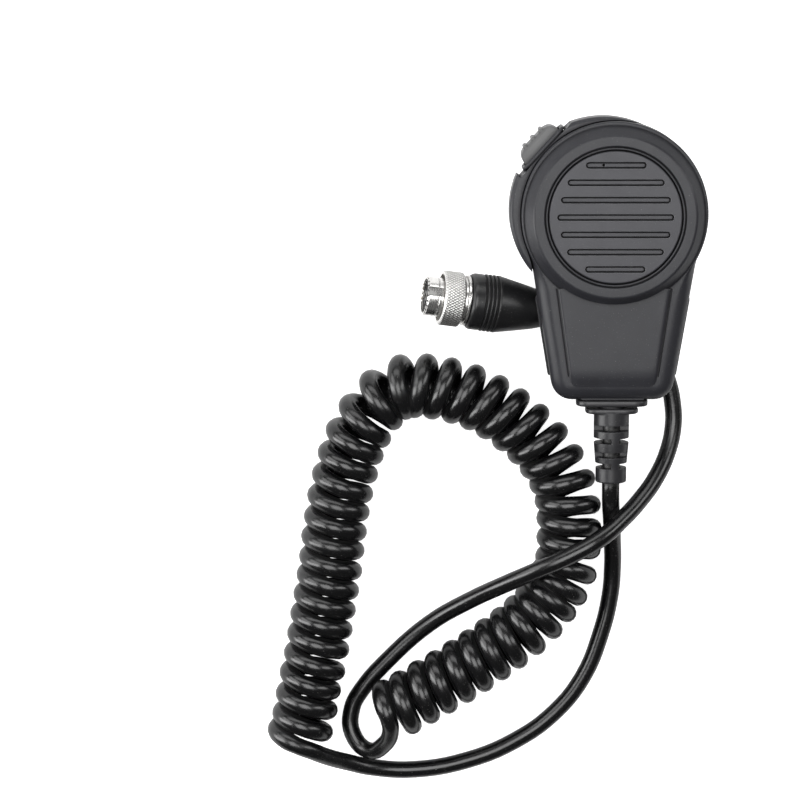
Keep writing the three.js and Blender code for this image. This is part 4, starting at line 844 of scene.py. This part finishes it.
# Where each flange starts and ends, its width and its height
FLANGES = ((61.6, 63.6, 23.7, 11.0), (64.4, 66.1, 17.5, 11.0))
FLANGE_ROUND = 0.55
TUBE = (66.1, 89.4)
TUBE_RADII = (5.85, 5.1)
FACE_CUTS = ((3.9, 6.0), (12.9, 14.8))
SIDE_CUTS = ((8.3, 10.0), (16.7, 18.5))
SPINE = (-0.2, 2.3)  # what is left over the cable between two side cuts


def flange(low, high, width, height):
    half = (high - low) / 2
    hoops = []
    for step in range(-4, 5):
        turn = math.radians(step * 22.5)
        inset = FLANGE_ROUND * (1 - math.cos(turn))
        level = math.copysign(half - FLANGE_ROUND, step) if step else 0
        z = (low + high) / 2 + level + FLANGE_ROUND * math.sin(turn)
        hoops.append(round_cornered(width - 2 * inset, height - 2 * inset, 4.6 - inset, z))
    return skin_over("tool", hoops, place=RELIEF_PLACE)


def relief_window(low, high, near, far, sideways):
    start, end = TUBE[0] + low, TUBE[0] + high
    line = eased([(near, start, 0.35), (far, start, 0), (far, end, 0), (near, end, 0.35)], steps=4)
    if sideways:
        hoops = [[(a, y, z) for a, z in line] for y in (-8, 8)]
    else:
        hoops = [[(x, a, z) for a, z in line] for x in (8, -8)]
    return skin_over("tool", hoops, place=RELIEF_PLACE)


def strain_relief():
    start, end = TUBE
    wide, narrow = TUBE_RADII
    line = eased([
        (CORD_RADIUS, start - 0.4, 0), (wide, start - 0.4, 0), (wide, start + 9.5, 2),
        (5.6, start + 12.5, 2), (narrow, end - 4.8, 1), (narrow, end, 0.5),
        (CORD_RADIUS, end, 0.25),
    ], steps=5)
    made = turned("cord_relief", line, closed=True, segments=72, place=RELIEF_PLACE)
    for low, high in FACE_CUTS:
        for near, far in ((1.2, 8), (-1.2, -8)):
            cut(made, relief_window(low, high, near, far, False))
    for low, high in SIDE_CUTS:
        for near, far in ((SPINE[1], 8), (SPINE[0], -8)):
            cut(made, relief_window(low, high, near, far, True))
    join(made, rod(4.2, 55.2, TUBE[0] + 0.2, RELIEF_PLACE))
    for row in FLANGES:
        join(made, flange(*row))
    cut(made, rod(3.0, TUBE[0] + 0.3, TUBE[1] + 1, RELIEF_PLACE))
    anchor = [round_cornered(15, 6.4, 2, z) for z in (54.4, 56.4)]
    return join(made, skin_over("tool", anchor, place=RELIEF_PLACE))


relief_rubber = moulded("relief_rubber", (0.0154, 0.0154, 0.0175), (0.10, 0.10, 0.105), 0.36,
                        grains=2200.0, relief=0.00002, wear_and_highlight=0.45, edge=0.0003, dust=0.35,
                        reach=0.0007)
relief = smooth_over(strain_relief(), 35)
give_finish(relief, relief_rubber, "housing", "relief", "strain_relief")

# ---- Plug boot ----
# The soft black PVC sleeve over the back of the plug, with four grip grooves at its wide
# end and a straight taper down to the cable.

PLUG_ORIGIN = (-47.644, -29.7, 11.3)
PLUG_HEADING, PLUG_TILT = math.radians(171.8), math.radians(9.5)
PLUG_FORWARDS = Vector((math.cos(PLUG_HEADING) * math.cos(PLUG_TILT),
                        math.sin(PLUG_HEADING) * math.cos(PLUG_TILT), math.sin(PLUG_TILT)))
PLUG_TURN = Vector((0, 0, 1)).rotation_difference(PLUG_FORWARDS)
PLUG_PLACE = Matrix.Translation(PLUG_ORIGIN) @ PLUG_TURN.to_matrix().to_4x4()
# The way round the plug, counted from its upper side towards the microphone's head end
UPPER_SIDE = PLUG_TURN.inverted() @ Vector((0, 0, 1))
HEAD_SIDE = PLUG_TURN.inverted() @ Vector((0, 1, 0))


def round_plug(degrees):
    turn = math.radians(degrees)
    way = UPPER_SIDE * math.cos(turn) + HEAD_SIDE * math.sin(turn)
    return math.atan2(way.y, way.x)


BOOT_GROOVES = 4
GROOVE_PITCH = 1.35


def plug_boot():
    corners = [(3.0, -33, 0), (3.5, -33, 0.3), (5.1, -27.5, 2), (6.7, -22.9, 2), (8.4, -15, 3),
               (9.3, -10.6, 1)]
    for i in range(BOOT_GROOVES):
        start = -4.3 - GROOVE_PITCH * (BOOT_GROOVES - i)
        corners += [(9.5, start, 0.25), (9.5, start + 0.62, 0.2), (8.75, start + 0.82, 0.2),
                    (8.75, start + 1.15, 0.2)]
    corners += [(9.35, -4.3, 0.25), (9.35, -1, 0.8), (8.5, 0, 0.4), (6.6, 0, 0.2), (6.6, -12.2, 0)]
    return turned("plug_sleeve", eased(corners, closed=False), place=PLUG_PLACE)


boot_rubber = moulded("boot_rubber", (0.006, 0.006, 0.0066), (0.04, 0.04, 0.042), 0.34,
                      grains=2400.0, relief=0.000018, wear_and_highlight=0.3, dust=0.3, gloss_change=0.18)
boot = smooth_over(plug_boot(), 45)
give_finish(boot, boot_rubber, "housing", "boot", "plug_boot")

# ---- Plug's metal shell ----
# Turned brass parts, nickel plated: a collar, the barrel with its keyway and notched
# rim, and the coupling ring, which is rolled with a diamond knurl and turns freely.


def make_lathe_effect():
    """Fine lines left by turning, at right angles to an axis, and stains in the plating."""
    group, given, out = new_effect(
        "turning_lines", {"Axis": (0.0, 0.0, 1.0), "Lines per metre": 5000.0},
        {"Height": "Float", "Stain": "Float"})
    place = texture_place(group)
    axis = given.outputs["Axis"]
    along = add_node(group, "VectorMath", {0: place, 1: axis}, operation="DOT_PRODUCT")
    lines = add_node(group, "TexNoise", {
        "W": along.outputs["Value"], "Scale": given.outputs["Lines per metre"], "Detail": 3.0,
    }, noise_dimensions="1D")
    stain = add_node(group, "TexNoise", {"Vector": place, "Scale": 260.0, "Detail": 6.0})
    group.links.new(lines.outputs[0], out.inputs["Height"])
    group.links.new(stain.outputs[0], out.inputs["Stain"])
    return group


LATHE = make_lathe_effect()


def plated(name, colour, roughness, axis=(0, 0, 1), stain=0.5, knurled=False, **sockets):
    """Plated or polished metal: turning lines, dull stains and painted shade in its grooves."""
    material, tree, shader = new_finish(name, **sockets)
    lathe = place_effect(tree, LATHE, {"Axis": tuple(axis)})
    edge_outputs = place_effect(tree, EDGE_WEAR_AND_HIGHLIGHT, {"Edge radius": 0.00012})
    spots = calculate(tree, "SUBTRACT", lathe["Stain"], 0.5, clamp=True)
    spots = calculate(tree, "MULTIPLY", spots, 3.0, clamp=True)
    base = blend_colours(tree, spots, colour + (1,), shade(colour, stain))
    # Painted shade: shut-in spots, or on the knurled ring its grooves, are painted nearly black.
    shut_in = place_effect(tree, CREVICES, {"Reach": 0.0006})["Mask"]
    painted_shade = calculate(tree, "MULTIPLY", shut_in, 1.3, clamp=True)
    if knurled:
        painted_shade = add_node(tree, "Attribute", attribute_name="groove").outputs["Fac"]
    base = blend_colours(tree, painted_shade, base, shade(colour, 0.03))
    tree.links.new(base, shader.inputs["Base Color"])
    rough = calculate(tree, "ADD", calculate(tree, "MULTIPLY", lathe["Height"], 0.14), roughness)
    tree.links.new(calculate(tree, "ADD", rough, calculate(tree, "MULTIPLY", spots, 0.2)),
                   shader.inputs["Roughness"])
    bump = add_node(tree, "Bump", {"Height": lathe["Height"], "Normal": edge_outputs["Soft normal"],
                                   "Strength": 0.6, "Distance": 0.000004})
    tree.links.new(bump.outputs[0], shader.inputs["Normal"])
    return material


nickel = plated("nickel_plate", (0.88, 0.87, 0.85), 0.17, axis=PLUG_FORWARDS, metallic=1.0)
knurled_nickel = plated("knurled_nickel", (0.90, 0.89, 0.87), 0.3, axis=PLUG_FORWARDS,
                        knurled=True, metallic=1.0)

collar_line = eased([(6.8, 0.3, 0.1), (8.4, 0.3, 0.2), (8.4, 1.2, 0.2), (7.5, 1.3, 0.05),
                     (7.4, 2.0, 0.1), (6.8, 2.0, 0.1)])
collar = smooth_over(turned("plug_band", collar_line, closed=True, place=PLUG_PLACE))
give_finish(collar, nickel, "housing", "nickel", "plug_collar")

RING_BACK, RING_FRONT = 2.3, 9.3
RING_RADIUS = 9.0
KNURLS = 58
KNURL_STEPS = 6
KNURL_ROWS = 48
KNURL_DEPTH = 0.22


def diamond(turn, along):
    """Height of the knurl's flat diamonds, 0 in the grooves and 1 on top."""
    waves = [abs(((turn + side * along) % 1) - 0.5) * 2 for side in (1, -1)]
    return min(min(waves) * 2.4, 1)


def coupling_ring():
    segments = KNURLS * KNURL_STEPS
    angles = [2 * math.pi * i / segments for i in range(segments)]
    pitch = 2 * math.pi * RING_RADIUS / KNURLS

    def plain(radius, z):
        return [(radius * math.cos(a), radius * math.sin(a), z) for a in angles]

    hoops = [plain(8.05, RING_BACK), plain(8.5, RING_BACK + 0.05)]
    grooves = [0.0] * 2 * segments
    for row in range(KNURL_ROWS + 1):
        edge = min(row, KNURL_ROWS - row) / KNURL_ROWS
        z = RING_BACK + 0.3 + (RING_FRONT - RING_BACK - 0.6) * row / KNURL_ROWS
        crown = RING_RADIUS + 0.1 - 0.3 * max(0, 1 - edge / 0.05) ** 1.5
        depth = KNURL_DEPTH * min(1, edge / 0.05)
        line = []
        for i, angle in enumerate(angles):
            low = 1 - diamond(i / KNURL_STEPS, z / pitch / 1.5)
            radius = crown - depth * low
            grooves.append(low)
            line.append((radius * math.cos(angle), radius * math.sin(angle), z))
        hoops.append(line)
    inner = ((8.4, RING_FRONT), (7.85, RING_FRONT), (7.8, RING_FRONT - 0.2), (7.8, 3.8),
             (6.7, 3.8), (6.7, RING_BACK))
    hoops += [plain(radius, z) for radius, z in inner]
    grooves += [0.0] * len(inner) * segments
    made = skin_over("knurled_ring", hoops, closed=True, place=PLUG_PLACE)
    made.data.attributes.new("groove", "FLOAT", "POINT").data.foreach_set("value", grooves)
    return made


ring = smooth_over(coupling_ring(), 50)
give_finish(ring, knurled_nickel, "coupling_ring", "nickel", "coupling_ring")


KEYWAY_TURN = 23  # degrees round the plug from its upper side
RIM_TEETH = 22


def plug_barrel():
    corners = [
        (4.8, -11.8, 0), (6.3, -11.8, 0.2), (6.3, 0.2, 0), (6.5, 0.3, 0), (6.5, 4.1, 0),
        (7.6, 4.1, 0.1), (7.6, 4.9, 0.1), (6.5, 4.9, 0), (6.5, 10.6, 0.1), (6.3, 10.75, 0.05),
        (6.3, 11.0, 0.05), (6.5, 11.15, 0.1), (6.5, 14.2, 0.12), (6.2, 14.4, 0.1),
        (6.2, 14.7, 0.15), (5.6, 14.7, 0.12), (5.6, 5.8, 0), (4.8, 5.8, 0),
    ]
    made = turned("plug_tube", eased(corners, steps=3), closed=True, place=PLUG_PLACE)
    keyway = PLUG_PLACE @ Matrix.Rotation(round_plug(KEYWAY_TURN), 4, "Z")
    cut(made, block((6.0, -1.5, 8.7), (8, 1.5, 16), keyway))
    for i in range(RIM_TEETH):
        turn = PLUG_PLACE @ Matrix.Rotation(2 * math.pi * i / RIM_TEETH, 4, "Z")
        cut(made, block((5.0, -0.3, 14.15), (8, 0.3, 16), turn))
    return made


barrel = smooth_over(plug_barrel(), 35)
give_finish(barrel, nickel, "housing", "nickel", "plug_barrel")

# ---- Plug's insert and contacts ----
# A black moulded disc holds eight gold-plated contact tubes, one in the middle and seven
# round it.

CONTACT_CIRCLE = 3.3
CONTACT_BORE = 1.05
CONTACT_WALL = (0.42, 0.75)
CONTACT_ENDS = (3.8, 13.4)
INSERT = (6.1, 13.7)


def contact_places():
    around = [2 * math.pi * (i + 0.5) / 7 for i in range(7)]
    return [(0, 0)] + [(CONTACT_CIRCLE * math.cos(a), CONTACT_CIRCLE * math.sin(a)) for a in around]


def plug_insert():
    line = eased([(5.3, INSERT[0], 0), (5.3, INSERT[1], 0.25), (0.6, INSERT[1], 0)], closed=False)
    made = turned("plug_core", line, segments=64, place=PLUG_PLACE)
    for x, y in contact_places():
        there = PLUG_PLACE @ Matrix.Translation((x, y, 0))
        cut(made, rod(CONTACT_BORE, INSERT[0] - 1, INSERT[1] + 1, there, 24))
    return made


insert_plastic = moulded("insert_plastic", (0.011, 0.011, 0.012), (0.04, 0.04, 0.04), 0.38,
                         grains=4000.0, relief=0.00001, edge=0.0001)
insert = smooth_over(plug_insert(), 35)
give_finish(insert, insert_plastic, "housing", "insert", "plug_insert")
gold_plate = plated("gold_plate", (0.83, 0.60, 0.26), 0.2, axis=PLUG_FORWARDS, stain=0.7,
                    metallic=1.0)
for i, (x, y) in enumerate(contact_places()):
    (inside, outside), (start, end) = CONTACT_WALL, CONTACT_ENDS
    line = eased([(inside, start, 0), (outside, start, 0), (outside, end, 0.12),
                  (inside, end, 0.1)])
    tube = turned(f"contact_tube_{i + 1}", line, closed=True, segments=24,
                  place=PLUG_PLACE @ Matrix.Translation((x, y, 0)))
    give_finish(smooth_over(tube), gold_plate, "housing", "gold", f"plug_contact_{i + 1}")

# ---- Hang-up button and the screws ----
# The nickel-plated button on the back, which hooks into a hanger, is turned and held by
# a screw from inside. The shell screws are zinc-plated steel, and sit deep in wells.

hang_line = eased([(5.7, 0, 0), (6.5, 0.8, 0.7), (6.5, 1.9, 0.5), (6.0, 2.4, 0.5), (3.6, 3.0, 0.5),
                   (3.6, 6.0, 0.1), (1.8, 6.0, 0.1), (1.8, 2.5, 0)], closed=False)
hang_button = smooth_over(turned("hanger_button", hang_line, segments=72))
button_nickel = plated("button_nickel", (0.78, 0.77, 0.745), 0.16, metallic=1.0)
give_finish(hang_button, button_nickel, "housing", "nickel", "hang_up_button")


def refinish(material, *names):
    """Gives CAD solids that stay a better material."""
    for name in names:
        solid = NODES[name]
        solid.data.materials.clear()
        solid.data.materials.append(material)


zinc = plated("zinc_plate", (0.56, 0.57, 0.58), 0.28, stain=0.6, metallic=1.0)
refinish(zinc, *[f"shell_screw_{i}" for i in range(1, 5)], "hang_up_washer", "hang_up_screw",
         "board_screw_1", "board_screw_2", "cable_clamp", "clamp_screw_1", "clamp_screw_2",
         "mic_capsule")

# ---- Parts inside ----
# The board with its wire header, the switch and its plunger, the felt behind the grille,
# the rubber capsule holder, the end of the cable and the wires.

refinish(relief_rubber, "capsule_holder")
refinish(jacket, "cord_sheath_end")
refinish(insert_plastic, "ptt_switch")
board_laminate = moulded("board_laminate", (0.02, 0.12, 0.05), (0.3, 0.28, 0.16), 0.35,
                         grains=1400.0)
refinish(board_laminate, "circuit_board")
felt = moulded("felt", (0.012, 0.012, 0.012), (0.02, 0.02, 0.02), 0.95, grains=1800.0,
               relief=0.0002)
refinish(felt, "grille_felt")
refinish(moulded("nylon", (0.72, 0.69, 0.6), (0.8, 0.78, 0.7), 0.4), "wire_header", "ptt_plunger")
WIRE_COLOURS = {
    "red": (0.42, 0.03, 0.03), "white": (0.66, 0.63, 0.56), "black": (0.015, 0.015, 0.016),
    "blue": (0.03, 0.16, 0.45), "yellow": (0.62, 0.37, 0.03), "green": (0.05, 0.26, 0.08),
}
wires = [moulded(f"{name}_wire", colour, colour, 0.35, dust=0.0)
         for name, colour in WIRE_COLOURS.items()]
for i, material in enumerate(wires):
    refinish(material, f"wire_{i + 1}")
refinish(wires[0], "capsule_wire_1")
refinish(wires[1], "capsule_wire_2")

# The cord leaves the strain relief's end and ends in the screw-on plug. All of it lies
# here, with a short stretch under the microphone, so its line gives its length.

# ---- Table top and lights ----
# A plain pale table top under soft studio lights.


TABLE_HALF = 3.0
TABLE_GLOW = 0.85  # lifts the table's white for the camera alone


def make_table():
    mesh = bpy.data.meshes.new("table_top")
    ways = ((-1, -1), (1, -1), (1, 1), (-1, 1))
    corners = [(x * TABLE_HALF, y * TABLE_HALF, 0) for x, y in ways]
    mesh.from_pydata(corners, [], [(0, 1, 2, 3)])
    made = bpy.data.objects.new("table_top", mesh)
    bpy.context.scene.collection.objects.link(made)
    material, tree, shader = new_finish("table_paper", roughness=0.9)
    shader.inputs["Base Color"].default_value = (0.8, 0.8, 0.8, 1)
    shader.inputs["Emission Color"].default_value = (1, 1, 1, 1)
    seen = add_node(tree, "LightPath").outputs["Is Camera Ray"]
    tree.links.new(calculate(tree, "MULTIPLY", seen, TABLE_GLOW), shader.inputs["Emission Strength"])
    mesh.materials.append(material)


def soft_light(name, place, size, power, aim=(-0.04, -0.06, 0.01)):
    light = bpy.data.lights.new(name, "AREA")
    light.shape = "RECTANGLE"
    light.size, light.size_y = size
    light.energy = power
    made = bpy.data.objects.new(name, light)
    made.location = place
    made.rotation_mode = "QUATERNION"
    made.rotation_quaternion = (Vector(aim) - Vector(place)).to_track_quat("-Z", "Y")
    bpy.context.scene.collection.objects.link(made)


make_table()
soft_light("overhead_light", (-0.1, 0.1, 1.25), (0.9, 0.8), 10.5)
soft_light("key_light", (-0.95, 0.4, 0.6), (0.5, 0.9), 5)
soft_light("side_light", (0.9, 0.3, 0.65), (0.35, 0.9), 4)
soft_light("low_light", (-0.62, -0.12, 0.2), (0.22, 0.7), 3.5)
soft_light("head_light", (-0.1, 0.95, 0.5), (1.3, 0.5), 5)


def make_studio():
    """Dim walls all round, which a camera pointed past the table sees as a pale backdrop."""
    world = bpy.data.worlds.new("studio")
    world.use_nodes = True
    tree = world.node_tree
    wall = tree.nodes["Background"]
    wall.inputs[0].default_value = (1, 1, 1, 1)
    seen = add_node(tree, "LightPath").outputs["Is Camera Ray"]
    strength = calculate(tree, "MULTIPLY", seen, 0.75)
    tree.links.new(calculate(tree, "ADD", strength, 0.1), wall.inputs[1])
    bpy.context.scene.world = world


make_studio()
bpy.context.scene.view_settings.view_transform = "Standard"
